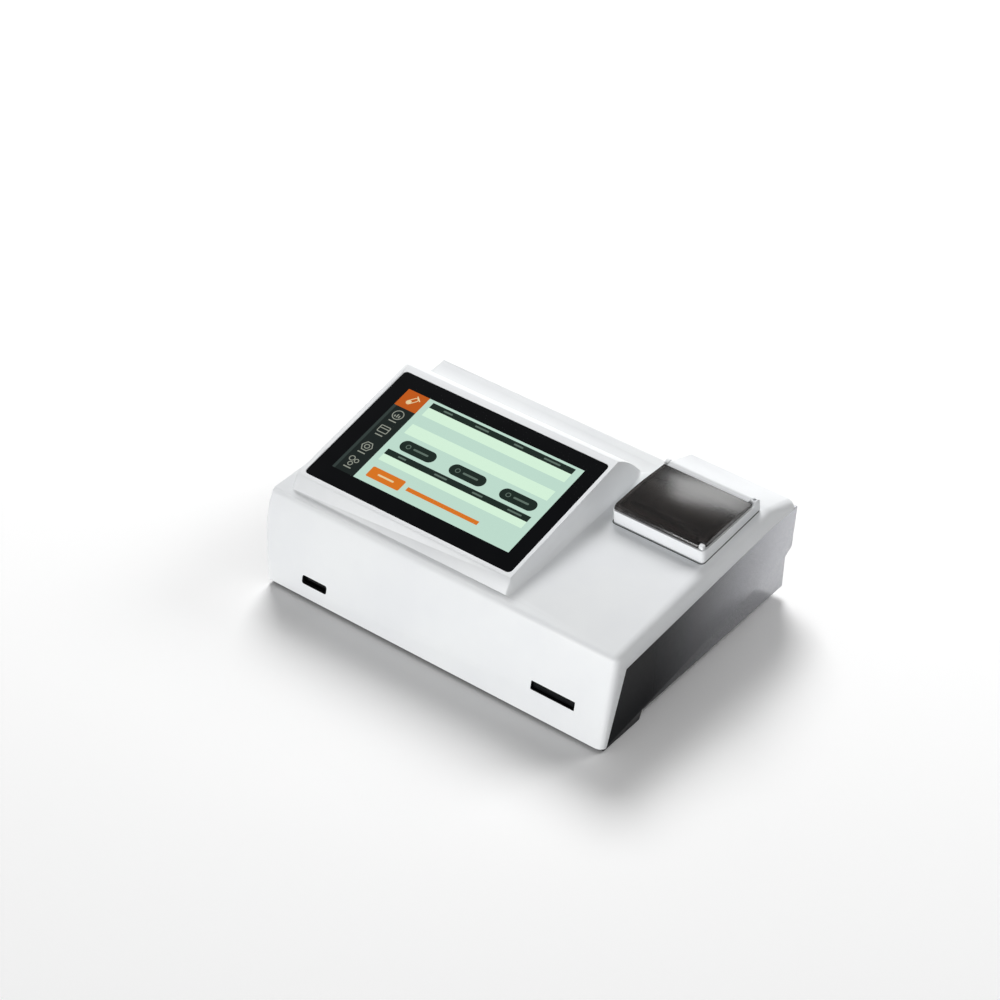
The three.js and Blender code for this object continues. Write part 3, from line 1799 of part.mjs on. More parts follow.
function addTrayDrive() {
  const gearBottom = trayBottom;
  const gearTop = trayTop;
  const pinionY = frontY + pinionDepth;
  const motorBottom = guideLipTop + seatGap;
  const pinion = join(
    prismZ(
      gearOutline(pinionTeeth, driveModule, Math.PI, pinionX, pinionY),
      gearBottom,
      gearTop,
    ),
    rodZ(pinionHubRadius, gearTop - driveModule, gearTop + pinionHubLength, pinionX, pinionY),
  );
  addPiece('tray_pinion', pinion, 'steel');

  const earHalf = motorPostSpread + motorPostRadius;
  const motor = cut(
    join(
      rodZ(motorRadius, motorBottom, motorBottom + motorHeight, pinionX, pinionY, largeSides),
      block(
        [pinionX - motorPostRadius, pinionY - earHalf, motorBottom],
        [pinionX + motorPostRadius, pinionY + earHalf, motorBottom + motorEarThickness],
      ),
    ),
    rodZ(
      pinionHubRadius + seatGap,
      motorBottom - cutOverrun,
      gearTop + pinionHubLength + seatGap,
      pinionX,
      pinionY,
    ),
  );
  addPiece('tray_motor', motor, 'steel');

  const sensorFront = frontY + trayBackDepth + seatGap * 2;
  const sensor = cut(
    block(
      [opticX - sensorWidth / 2, sensorFront, guideTop],
      [opticX + sensorWidth / 2, sensorFront + sensorLength, guideTop + sensorHeight],
    ),
    block(
      [opticX - sensorSlot / 2, sensorFront - cutOverrun, guideTop + sensorBase],
      [opticX + sensorSlot / 2, sensorFront + sensorLength + cutOverrun, guideTop + farAway],
    ),
  );
  addPiece('tray_sensor', sensor, 'black');
}

function addOptics() {
  const y = frontY + opticDepth;
  const bottom = guideLipTop;
  const top = bottom + opticBlockHeight;
  const ledge = bottom + opticLedgeHeight;
  const mirrorMiddle = bottom + mirrorHeight;
  const rightX = guideRightX;
  const opticBlock = cut(
    block([guideLeftX, y - opticBlockLength / 2, bottom], [rightX, y + opticBlockLength / 2, top]),
    rodZ(opticBoreRadius, bottom - cutOverrun, ledge + cutOverrun, opticX, y),
    rodZ(opticWellRadius, ledge, top + cutOverrun, opticX, y),
    rodX(lampBoreRadius, opticX, rightX + cutOverrun, y, mirrorMiddle),
  );
  addPiece('optic_block', opticBlock, 'black');

  const lensBottom = ledge + seatGap + lensBulge;
  const lensProfile = [[0, -lensBulge]];
  for (let step = 1; step <= edgeSteps; step += 1) {
    const share = step / edgeSteps;
    lensProfile.push([lensRadius * share, -lensBulge * (1 - share * share)]);
  }
  for (let step = edgeSteps; step >= 0; step -= 1) {
    const share = step / edgeSteps;
    lensProfile.push([lensRadius * share, lensEdge + lensBulge * (1 - share * share)]);
  }
  const lens = new THREE.LatheGeometry(
    lensProfile.map(([radius, along]) => new THREE.Vector2(radius, along)),
    smallSides,
  );
  lens.rotateX(Math.PI / 2);
  lens.translate(opticX, y, lensBottom);
  addPiece('optic_lens', geometryFrom(solidFrom(lens)), 'clear');

  const mirror = block(
    [-mirrorLength / 2, -mirrorWidth / 2, -mirrorThickness / 2],
    [mirrorLength / 2, mirrorWidth / 2, mirrorThickness / 2],
  );
  mirror.rotateY(-Math.PI / 4);
  mirror.translate(opticX, y, mirrorMiddle);
  addPiece('dichroic_mirror', mirror, 'clear');

  const filter = rodZ(
    filterRadius,
    bottom + filterHeight,
    bottom + filterHeight + filterThickness,
    opticX,
    y,
  );
  addPiece('optic_filter', filter, 'glass');

  const boardX = rightX + seatGap;
  const lampBoard = join(
    block(
      [boardX, y - opticBoardSize / 2, mirrorMiddle - opticBoardSize / 2],
      [boardX + boardThickness, y + opticBoardSize / 2, mirrorMiddle + opticBoardSize / 2],
    ),
    rodX(lampRadius, boardX - lampLength, boardX + boardThickness / 2, y, mirrorMiddle),
  );
  addPiece('lamp_board', lampBoard, 'board');

  const detector = join(
    block(
      [opticX - opticBoardSize / 2, y - opticBoardSize / 2, top],
      [opticX + opticBoardSize / 2, y + opticBoardSize / 2, top + boardThickness],
    ),
    block(
      [opticX - lampRadius, y - lampRadius, top - lampRadius / 2],
      [opticX + lampRadius, y + lampRadius, top + boardThickness / 2],
    ),
  );
  addPiece('detector_board', detector, 'board');
}

// Height of the printer frame's side walls at a distance back from the frame's front.
function frameHeight(along) {
  return frameFrontHeight + ((frameRearHeight - frameFrontHeight) * along) / lidRearAlong;
}

const gearRightX = gearLeftX + gearWidth;
const idlerDistance = (gearModule * (platenTeeth + idlerTeeth)) / 2;
const motorDistance = (gearModule * (idlerTeeth + motorTeeth)) / 2;
const idlerDirection = THREE.MathUtils.degToRad(idlerDirectionDegrees);
const motorDirection = THREE.MathUtils.degToRad(motorDirectionDegrees);
const idlerAlong = platenAlong + idlerDistance * Math.cos(idlerDirection);
const idlerRise = platenRise + idlerDistance * Math.sin(idlerDirection);
const motorAlong = idlerAlong + motorDistance * Math.cos(motorDirection);
const motorRise = idlerRise + motorDistance * Math.sin(motorDirection);
const catchRight = printerRightX - catchRightMargin;
const catchLeft = catchRight - catchWidth;
const pocketLeft = catchLeft - seatGap;
const pocketRight = catchRight + seatGap;
const pocketFront = catchAlong - seatGap;
const pocketBack = catchAlong + catchLength + seatGap;
const pocketBottom = catchBottom - catchTravel - seatGap;

// The paper bay's side outline, widened by a wall thickness for its outside.
function bayOutline(wall, top) {
  const radius = rollRadius + rollCradleGap + wall;
  const points = [
    [bayFrontInset - wall, top],
    [bayFrontInset - wall, -rollDrop - radius],
    [rollAlong, -rollDrop - radius],
  ];
  for (let step = 1; step <= largeSides / 4; step += 1) {
    const angle = -Math.PI / 2 + (2 * Math.PI * step) / largeSides;
    points.push([rollAlong + radius * Math.cos(angle), -rollDrop + radius * Math.sin(angle)]);
  }
  points.push([rollAlong + radius, top]);
  return points;
}

function buildPrinterFrame() {
  const sillFront = hingeAlong - hingeEarRadius;
  const bezel = prismX(
    [
      [0, seatGap],
      [printerLength, seatGap],
      [printerLength, rearSillHeight],
      [sillFront, rearSillHeight],
      [sillFront, frameHeight(sillFront)],
      [0, frameFrontHeight],
    ],
    printerLeftX,
    printerRightX,
  );
  const planform = prismZ(
    roundedRectangle(printerLeftX, 0, printerRightX, printerLength, frameCornerRadius),
    0,
    farAway,
  );
  const bucket = prismX(
    bayOutline(printerWall, frameBaseHeight),
    printerLeftX + bucketInset,
    printerRightX - bucketInset,
  );
  const upperRoom = block(
    [printerLeftX + printerWall, printerWall, frameBaseHeight],
    [printerRightX - printerWall, sillFront, farAway],
  );
  const paperBay = prismX(bayOutline(0, frameBaseHeight + cutOverrun), bayLeftX, gearCheekX);
  const gearBay = block(
    [gearCheekX + gearCheekThickness, bayFrontInset, -rollDrop - rollRadius],
    [gearBayRightX, gearBayBack, frameBaseHeight + cutOverrun],
  );
  const cheek = (fromX, toX) => prismX(
    [
      [printerWall / 2, 0],
      [cheekBack, 0],
      [cheekBack, frameBaseHeight],
      [cheekShoulder, cheekHeight],
      [printerWall / 2, cheekHeight],
    ],
    fromX,
    toX,
  );
  const ear = (fromX, toX) => join(
    rodX(hingeEarRadius, fromX, toX, hingeAlong, hingeRise, largeSides),
    block(
      [fromX, hingeAlong - hingeEarRadius, seatGap],
      [toX, hingeAlong + hingeEarRadius, hingeRise],
    ),
  );
  const pocketBlock = block(
    [pocketLeft - catchPocketWall, printerWall / 2, 0],
    [
      printerRightX - printerWall / 2,
      pocketBack + catchPocketWall,
      frameHeight(pocketBack) - seatGap,
    ],
  );
  const hollowed = cut(
    join(common(bezel, planform), bucket),
    upperRoom,
    paperBay,
    gearBay,
  );
  const gearRoomBack = bayFrontInset + frameCornerRadius + seatGap;
  const leftEar = ear(printerLeftX, printerLeftX + hingeEarWidth);
  const rightEar = ear(printerRightX - hingeRightEarWidth, printerRightX);
  return cut(
    join(
      hollowed,
      cheek(printerLeftX + printerWall / 2, bayLeftX),
      cheek(gearCheekX, gearCheekX + gearCheekThickness),
      cut(pocketBlock, block(
        [printerLeftX, bayFrontInset, 0],
        [gearRightX + seatGap, gearRoomBack, farAway],
      )),
      leftEar,
      rightEar,
    ),
    block(
      [pocketLeft, pocketFront, pocketBottom],
      [pocketRight, pocketBack, farAway],
    ),
    rodX(
      platenShaftRadius + seatGap,
      printerLeftX + printerWall,
      gearRightX,
      platenAlong,
      platenRise,
    ),
    rodX(idlerPinRadius + seatGap, gearCheekX - seatGap, gearRightX, idlerAlong, idlerRise),
    rodX(
      printMotorShaftRadius + seatGap,
      gearCheekX - seatGap,
      gearRightX,
      motorAlong,
      motorRise,
    ),
    rodX(
      hingeBoreRadius,
      printerLeftX + hingePinRadius,
      printerRightX - hingePinRadius,
      hingeAlong,
      hingeRise,
    ),
    rodZ(
      hingeDimpleRadius,
      hingeRise + hingeEarRadius - hingeDimpleDepth,
      farAway,
      printerRightX - hingeRightEarWidth / 2,
      hingeAlong,
    ),
  );
}

// The lid's side outline; its lower edge follows the frame's side walls.
function lidOutline(drop) {
  return roundCorners([
    [lidInset, frameHeight(lidInset) + lidSeatGap - drop],
    [lidInset + lidFrontLean, lidFrontCrown, lidFrontRadius],
    [lidMiddleAlong, lidMiddleCrown, lidMiddleRadius],
    [lidRearAlong, lidRearCrown],
    [lidRearAlong, frameHeight(lidRearAlong) + lidSeatGap - drop],
  ]);
}

function addPrinterLid() {
  const leftX = printerLeftX + lidInset;
  const rightX = printerRightX - lidInset;
  const lid = cut(
    prismX(lidOutline(0), leftX, rightX),
    prismX(insetOutline(lidOutline(lidWall * 2), lidWall), leftX + lidWall, rightX - lidWall),
    block(
      [catchLeft - catchNotchMargin, 0, 0],
      [printerRightX, catchAlong + catchLength + catchNotchMargin, farAway],
    ),
  );
  addPiece('printer_lid', lid, 'smoke', printer);

  const barLeft = printerLeftX + hingeEarWidth + hingeBarGap;
  const barRight = printerRightX - hingeRightEarWidth - hingeBarGap;
  const tongueTop = lidRearCrown - seatGap;
  const bar = cut(
    join(
      rodX(hingeBarRadius, barLeft, barRight, hingeAlong, hingeRise, largeSides),
      block(
        [barLeft, lidRearAlong + seatGap, hingeRise],
        [barRight, hingeAlong, tongueTop],
      ),
    ),
    rodX(hingeBoreRadius, barLeft - cutOverrun, barRight + cutOverrun, hingeAlong, hingeRise),
  );
  addPiece('lid_hinge_bar', bar, 'white', printer);

  const pin = rodX(
    hingePinRadius,
    printerLeftX + hingePinRadius + seatGap,
    printerRightX - hingePinRadius - seatGap,
    hingeAlong,
    hingeRise,
  );
  addPiece('lid_hinge_pin', pin, 'steel', printer);

  const press = block(
    [catchLeft, catchAlong, catchBottom],
    [catchRight, catchAlong + catchLength, catchTop],
  );
  addPiece('lid_catch', press, 'white', printer);
}

function addPaper() {
  const leftX = bayLeftX + (gearCheekX - bayLeftX - rollWidth) / 2;
  const rightX = leftX + rollWidth;
  const ring = (outer, inner, fromX, toX) => cut(
    rodX(outer, fromX, toX, rollAlong, -rollDrop, largeSides),
    rodX(inner, fromX - cutOverrun, toX + cutOverrun, rollAlong, -rollDrop, largeSides),
  );
  addPiece('paper_roll', ring(rollRadius, rollCoreRadius + seatGap, leftX, rightX), 'paper', printer);
  addPiece(
    'paper_core',
    ring(rollCoreRadius, rollCoreRadius - rollCoreWall, leftX, rightX),
    'film',
    printer,
  );
}

function addPlaten() {
  const sleeveLeft = bayLeftX + platenSleeve;
  const sleeveRight = gearCheekX - platenSleeve;
  const shaft = rodX(
    platenShaftRadius,
    printerLeftX + printerWall + seatGap,
    gearRightX + seatGap,
    platenAlong,
    platenRise,
  );
  addPiece('platen_shaft', shaft, 'steel', printer);
  const sleeve = cut(
    rodX(platenRadius, sleeveLeft, sleeveRight, platenAlong, platenRise, largeSides),
    rodX(
      platenShaftRadius + seatGap,
      sleeveLeft - cutOverrun,
      sleeveRight + cutOverrun,
      platenAlong,
      platenRise,
    ),
  );
  addPiece('platen_rubber', sleeve, 'rubber', printer);
}

function addGearTrain() {
  const platenPhase = idlerDirection;
  const idlerPhase = meshingPhase(platenPhase, platenTeeth, idlerDirection, idlerTeeth);
  const motorPhase = meshingPhase(idlerPhase, idlerTeeth, motorDirection, motorTeeth);
  const gear = (teeth, phase, along, rise, bore) => cut(
    prismX(gearOutline(teeth, gearModule, phase, along, rise), gearLeftX, gearRightX),
    rodX(bore, gearLeftX - cutOverrun, gearRightX + cutOverrun, along, rise),
  );
  addPiece(
    'platen_gear',
    gear(platenTeeth, platenPhase, platenAlong, platenRise, platenShaftRadius + seatGap),
    'white',
    printer,
  );
  addPiece(
    'idler_gear',
    gear(idlerTeeth, idlerPhase, idlerAlong, idlerRise, idlerPinRadius + seatGap),
    'white',
    printer,
  );
  addPiece(
    'motor_gear',
    join(
      prismX(
        gearOutline(motorTeeth, gearModule, motorPhase, motorAlong, motorRise),
        gearLeftX,
        gearRightX,
      ),
      rodX(printMotorShaftRadius, gearCheekX, gearRightX, motorAlong, motorRise),
    ),
    'steel',
    printer,
  );
  const pin = rodX(idlerPinRadius, gearCheekX, gearRightX + seatGap, idlerAlong, idlerRise);
  addPiece('idler_pin', pin, 'steel', printer);
}

function addPrintMechanism() {
  const motorRightX = gearCheekX - seatGap;
  const motor = rodX(
    printMotorRadius,
    motorRightX - printMotorLength,
    motorRightX,
    motorAlong,
    motorRise,
    largeSides,
  );
  addPiece('print_motor', motor, 'steel', printer);

  const headFront = platenAlong + platenRadius + seatGap;
  const headBack = headFront + printHeadThickness;
  const head = prismX(
    [
      [headFront, -printHeadDrop],
      [headBack + printHeadHook, -printHeadDrop],
      [headBack + printHeadHook, 0],
      [headBack, 0],
      [headBack, printHeadHeight - printHeadDrop],
      [headFront, printHeadHeight - printHeadDrop],
    ],
    bayLeftX + seatGap,
    gearCheekX - seatGap,
  );
  addPiece('print_head', head, 'steel', printer);

  const barLeft = bayLeftX + platenSleeve;
  const barRight = gearCheekX - platenSleeve;
  const teeth = [];
  for (let tooth = 0; tooth < tearToothCount; tooth += 1) {
    const left = barLeft + ((barRight - barLeft) * tooth) / tearToothCount;
    const right = barLeft + ((barRight - barLeft) * (tooth + 1)) / tearToothCount;
    teeth.push([left, tearBarTop - tearToothHeight], [(left + right) / 2, tearBarTop]);
  }
  const tearBar = prismY(
    [
      [barRight, tearBarTop - tearToothHeight],
      [barRight, tearBarBottom],
      [barLeft, tearBarBottom],
      ...teeth,
    ],
    printerWall + seatGap,
    printerWall + seatGap + tearBarThickness,
  );
  addPiece('tear_bar', tearBar, 'steel', printer);

  const boardFront = bayFrontInset + seatGap;
  const board = block(
    [barLeft, boardFront, -printerBoardDrop],
    [
      barLeft + printerBoardLength,
      boardFront + boardThickness,
      -printerBoardDrop + printerBoardHeight,
    ],
  );
  addPiece('printer_board', board, 'board', printer);
}

addCase();
addFeet();
addDisplay();
addRibbon();
addMainboard();
addPowerSupply();
addRearPanel();
addPowerInlet();
addRockerSwitch();
addDataSockets();
addChipReader();
addTray();
addGuide();
addTrayDrive();
addOptics();
addPiece('printer_frame', buildPrinterFrame(), 'white', printer);
addPrinterLid();
addPaper();
addPlaten();
addGearTrain();
addPrintMechanism();

export default reader;
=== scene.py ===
"""Dresses the rapid test reader for its picture.

The frame's solids keep their places. Each operator below makes one piece, or a group of like
pieces, over them: shells with their moulded edges, the lit display, the printer with its paper, the
sockets at the rear and the studio that they stand in."""

import json
import math

import bmesh
import bpy
from mathutils import Matrix, Vector

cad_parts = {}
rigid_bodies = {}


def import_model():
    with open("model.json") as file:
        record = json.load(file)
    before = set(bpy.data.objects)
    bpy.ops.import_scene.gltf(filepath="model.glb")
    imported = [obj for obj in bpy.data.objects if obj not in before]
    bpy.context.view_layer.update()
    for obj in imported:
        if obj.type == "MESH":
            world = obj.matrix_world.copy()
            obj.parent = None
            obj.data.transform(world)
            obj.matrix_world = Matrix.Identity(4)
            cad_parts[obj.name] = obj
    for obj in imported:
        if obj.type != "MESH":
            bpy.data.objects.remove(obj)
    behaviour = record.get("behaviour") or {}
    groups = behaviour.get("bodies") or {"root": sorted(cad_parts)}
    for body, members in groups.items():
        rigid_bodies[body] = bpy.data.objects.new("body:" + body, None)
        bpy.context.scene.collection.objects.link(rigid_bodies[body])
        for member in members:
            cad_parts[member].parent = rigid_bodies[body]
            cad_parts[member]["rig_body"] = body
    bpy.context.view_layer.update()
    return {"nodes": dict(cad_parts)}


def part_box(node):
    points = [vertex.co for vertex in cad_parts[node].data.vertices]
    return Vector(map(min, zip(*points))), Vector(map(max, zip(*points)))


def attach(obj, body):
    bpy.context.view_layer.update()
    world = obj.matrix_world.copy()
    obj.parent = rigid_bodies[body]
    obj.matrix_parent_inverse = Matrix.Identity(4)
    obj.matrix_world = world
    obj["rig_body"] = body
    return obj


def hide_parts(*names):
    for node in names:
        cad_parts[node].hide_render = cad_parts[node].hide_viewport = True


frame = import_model()

bl_info = {
    "name": "Rapid test reader",
    "version": (1, 0, 0),
    "blender": (4, 5, 0),
    "location": "3D View > Sidebar > Reader",
    "description": "Makes the finished pieces of a bench-top rapid test reader",
    "category": "Add Mesh",
}

MM = 0.001
# Merges the loose triangles of a solid's copy: well under its thinnest wall
MERGE_DISTANCE = 0.02 * MM
# Facets that meet at less than this are one flat face
FLAT_ANGLE = math.radians(0.5)
# An edge over this angle is rounded, if all the edges at its ends are this many radii long
ROUND_ANGLE = math.radians(40)
ROUND_ROOM = 2.2
# An edge over this angle is shaded as an edge
SMOOTH_ANGLE = math.radians(35)


def mm(x, y, z):
    """A point or a step given in millimetres."""
    return Vector((x * MM, y * MM, z * MM))


def turned(degrees, axis):
    """The matrix of a turn about an axis."""
    return Matrix.Rotation(math.radians(degrees), 4, axis)


def spot(node, x, y, z):
    """A point of a solid's box, by its shares of the box's width, depth and height."""
    low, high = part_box(node)
    return Vector([a + share * (b - a) for a, b, share in zip(low, high, (x, y, z))])


# The display's slope in degrees, and its cover glass's thickness in mm
DISPLAY_TILT = 12
GLASS_THICKNESS = 1.8
# The display's own frame: its origin is the front left corner of the cover glass's upper face, and
# its Z leaves the glass
DISPLAY = (
    Matrix.Translation(
        spot("display_glass", 0, 0, 0)
        + mm(0, 0, GLASS_THICKNESS * math.cos(math.radians(DISPLAY_TILT)))
    )
    @ turned(DISPLAY_TILT, "X")
)
# The printer's own frame: its origin is on the cover's top, at the printer's front edge
PRINTER = Matrix.Translation(mm(0, 8, 80.68)) @ turned(4.6, "X")

# The chip's and the card's slots in the front face, in mm: left, right, low and high, a little
# outside their walls. The walls lie in front of the slots' depth, and are painted black as painted
# shade.
FRONT_SLOTS = ((-113.2, -90.2, 12.0, 19.5), (85.8, 122.8, 20.5, 28.0))
SLOT_DEPTH = -95 * MM
# The glass's seat lies no further than this outside the glass
SEAT_REACH = 0.6 * MM

# The lower case's painted reflection: its colour turns from near black to silvery between these
# depths
PAINTED_SHEEN_START = -67 * MM
PAINTED_SHEEN_FULL = 134 * MM

# The cover's flat top: how steeply it rises to the rear, and its level over the body's middle
COVER_RISE = 0.0803
COVER_LEVEL = 80.08 * MM

# The photo's camera, solved from the object's corners: lens and sensor in mm, turn and place
CAMERA_LENS = 111.13
CAMERA_SENSOR = 36
CAMERA_PLACE = Matrix(
    (
        (0.7865, -0.3783, 0.4881, 1.02115),
        (0.6176, 0.4818, -0.6217, -1.33088),
        (0.0, 0.7904, 0.6126, 1.37207),
        (0, 0, 0, 1),
    )
)
# Half the floor's width, in metres
FLOOR_HALF = 6.0
# From the lid to what its rear edge mirrors to the camera, and how far off the card for it stands
LID_MIRROR = Vector((-0.387, 0.794, 0.470))
LID_CARD_DISTANCE = 1.2
# The white background as a lamp, as what the eye sees, and as what shiny surfaces mirror
WORLD_LIGHT, WORLD_SEEN, WORLD_MIRRORED = 0.2, 1.0, 0.15

GLASS_IOR = 1.52
# The round sections of a screw have this many sides
SCREW_SIDES = 40

# The finishes that share the lit picture, in the order of its paints; the empty one is the user's
PICTURE_COLOURS = {
    "picture_ground": "#bedccd",
    "picture_light_row": "#d5f2da",
    "picture_dark": "#1c2923",
    "picture_column": "#1b2220",
    "picture_orange": None,
    "picture_tile_orange": "#bf5917",
    "picture_line": "#93978c",
    "picture_pale": "#e6cfa0",
    "picture_mark": "#5f7066",
    "picture_column_edge": "#333d3a",
}

FINISHES = {}
TREES = {}


# Finishes


def linear(code):
    """The linear colour of an sRGB hex value."""
    values = [int(code[i : i + 2], 16) / 255 for i in (1, 3, 5)]
    return tuple(v / 12.92 if v <= 0.04045 else ((v + 0.055) / 1.055) ** 2.4 for v in values)


def opaque(colour, share=1.0):
    """A share of a hex value or a linear colour, with full cover."""
    values = linear(colour) if isinstance(colour, str) else colour
    return tuple(share * v for v in values) + (1.0,)


def fill(node, inputs):
    """Links a socket, or a node's first output, to each input named. Any other value is set."""
    for name, value in inputs.items():
        if isinstance(value, bpy.types.Node):
            value = value.outputs[0]
        if isinstance(value, bpy.types.NodeSocket):
            node.id_data.links.new(value, node.inputs[name])
        else:
            node.inputs[name].default_value = value


def add_node(tree, kind, inputs=None, stops=(), **settings):
    """Adds a node with its settings and inputs, and the stops of its colour ramp if it has one."""
    node = tree.nodes.new(kind)
    for key, value in settings.items():
        setattr(node, key, value)
    for i, (place, colour) in enumerate(stops):
        node.color_ramp.elements[i].position = place
        node.color_ramp.elements[i].color = opaque(colour)
    fill(node, inputs or {})
    return node


def blank_finish(name):
    """A new finish's tree and shader."""
    material = bpy.data.materials.new(name)
    material.use_nodes = True
    FINISHES[name] = material
    return material.node_tree, material.node_tree.nodes["Principled BSDF"]


def patterned_finish(name):
    """A blank finish, and the place on the piece that its patterns follow."""
    tree, shader = blank_finish(name)
    return tree, shader, add_node(tree, "ShaderNodeTexCoord").outputs["Object"]


def speckled_colour(tree, position, colours, patch):
    """A slow change between two near shades, over patches of that size in mm."""
    clouds = {"Vector": position, "Scale": 1 / (patch * MM), "Detail": 3.0, "Roughness": 0.55}
    shades = ((0.35, colours[0]), (0.65, colours[1]))
    pattern = add_node(tree, "ShaderNodeTexNoise", clouds)
    return add_node(tree, "ShaderNodeValToRGB", {"Fac": pattern}, shades)


def worked(shader, pattern, polish=None, relief=None, top=1.0):
    """Has a pattern change the roughness between two values, and raise a relief.

    The relief is a strength and a depth in mm. The pattern has its full effect at the value top."""
    tree = shader.id_data
    if polish:
        span = {"Value": pattern, "From Max": top, "To Min": polish[0], "To Max": polish[1]}
        fill(shader, {"Roughness": add_node(tree, "ShaderNodeMapRange", span)})
    if relief:
        raised = {"Height": pattern, "Strength": relief[0], "Distance": relief[1] * MM}
        fill(shader, {"Normal": add_node(tree, "ShaderNodeBump", raised)})


def grained(name, colours, patch, grain, values, polish=None, relief=None, stretch=None):
    """A finish of two near shades, if any, and a grain that works its polish and its relief.

    The grain is a noise's size in mm, its detail and roughness, and can be drawn out one way."""
    tree, shader, position = patterned_finish(name)
    if colours:
        fill(shader, {"Base Color": speckled_colour(tree, position, colours, patch)})
    if stretch:
        position = add_node(tree, "ShaderNodeMapping", {"Vector": position, "Scale": stretch})
    size, detail, roughness = grain
    grains = {"Vector": position, "Scale": 1 / (size * MM), "Detail": detail}
    pattern = add_node(tree, "ShaderNodeTexNoise", {**grains, "Roughness": roughness})
    worked(shader, pattern, polish, relief)
    fill(shader, values)


def moulded(name, colours, roughness, grain=0.35, depth=0.012, specular=0.5, patch=60):
    """A moulded plastic or rubber, with the grain that the mould's wall leaves. Sizes in mm."""
    values = {"Specular IOR Level": specular}
    polish = (roughness * 0.9, roughness * 1.1)
    grained(name, colours, patch, (grain, 2.0, 0.6), values, polish, (0.35, depth))


def metal(name, colours, roughness, stretch=None):
    """A metal, with the fine lines or grain of its working."""
    polish = (roughness * 0.75, roughness * 1.3)
    grain = (0.5, 3.0, 0.6)
    grained(name, colours, 6, grain, {"Metallic": 1.0}, polish, (0.3, 0.004), stretch)


def clear_glass(name, code):
    """Polished glass: clear, tinted by its coating, with a faint haze."""
    values = {"Base Color": opaque(code), "Transmission Weight": 1.0, "IOR": GLASS_IOR}
    grained(name, None, None, (3, 2.0, 0.5), values, (0.01, 0.05))


def lit_picture(name, colour, strength):
    """A colour of the lit display: black of itself, with its own light through a grid of dots.

    The real dots are 0.15 mm apart; the grid is drawn at 0.6 mm so that it shows."""
    tree, shader, position = patterned_finish(name)
    level = (-math.radians(DISPLAY_TILT), 0, 0)
    grid = {
        "Vector": add_node(tree, "ShaderNodeMapping", {"Vector": position, "Rotation": level}),
        "Color1": opaque(colour),
        "Color2": opaque(colour, 0.985),
        "Mortar": opaque(colour, 0.93),
        "Scale": 1.0,
        "Brick Width": 0.6 * MM,
        "Row Height": 0.6 * MM,
        "Mortar Size": 0.03 * MM,
        "Mortar Smooth": 0.5,
    }
    coating = {
        "Base Color": opaque("#08090a"),
        "Emission Color": add_node(tree, "ShaderNodeTexBrick", grid, offset=0.0),
        "Emission Strength": strength,
        "Roughness": 0.12,
        "Specular IOR Level": 0.15,
    }
    fill(shader, coating)


def circuit_board(name, dark, light):
    """Glass-epoxy board: traces 0.8 mm apart show as paler lines under a shiny solder resist."""
    tree, shader, position = patterned_finish(name)
    pattern = {
        "Vector": position,
        "Color1": opaque(light),
        "Color2": opaque(dark),
        "Mortar": opaque(dark),
        "Scale": 1.0,
        "Brick Width": 9 * MM,
        "Row Height": 0.8 * MM,
        "Mortar Size": 0.14 * MM,
        "Mortar Smooth": 0.2,
        "Bias": -0.1,
    }
    traces = add_node(tree, "ShaderNodeTexBrick", pattern, offset=0.37)
    worked(shader, traces.outputs["Fac"], relief=(0.3, -0.03))
    fill(shader, {"Base Color": traces, "Roughness": 0.32})


def ribbon(name):
    """Flat flexible cable: tinned conductors 1 mm apart under clear film."""
    tree, shader, position = patterned_finish(name)
    waves = {"Vector": position, "Scale": math.pi / (10 * MM)}
    lines = add_node(
        tree, "ShaderNodeTexWave", waves, wave_type="BANDS", bands_direction="X"
    ).outputs["Fac"]
    shades = ((0.4, "#dfe3e8"), (0.6, "#a7adb3"))
    worked(shader, lines, relief=(0.4, 0.03))
    colour = add_node(tree, "ShaderNodeValToRGB", {"Fac": lines}, shades)
    fill(shader, {"Base Color": colour, "Roughness": 0.3})


def case_with_painted_sheen(name, settings):
    """Charcoal ABS with a fine metal-flake grain, and a painted reflection: near black at the front
    and silvery at the rear.
    """
    tree, shader, position = patterned_finish(name)
    along = add_node(tree, "ShaderNodeSeparateXYZ", {"Vector": position}).outputs["Y"]
    # Painted reflection: the colour and the metal share rise from the front to the rear
    span = {"Value": along, "From Min": PAINTED_SHEEN_START, "From Max": PAINTED_SHEEN_FULL}
    painted_sheen = add_node(tree, "ShaderNodeMapRange", span, interpolation_type="SMOOTHSTEP")
    shades = ((0.0, settings.charcoal), (1.0, settings.charcoal_painted_sheen))
    flakes = add_node(tree, "ShaderNodeTexVoronoi", {"Vector": position, "Scale": 1 / (0.25 * MM)})
    worked(shader, flakes, polish=(0.2, 0.3), relief=(0.12, 0.01), top=0.8)
    plastic = {
        "Base Color": add_node(tree, "ShaderNodeValToRGB", {"Fac": painted_sheen}, shades),
        "Metallic": add_node(tree, "ShaderNodeMapRange", {"Value": painted_sheen, "To Max": 0.7}),
        "Specular IOR Level": 0.2,
    }
    fill(shader, plastic)


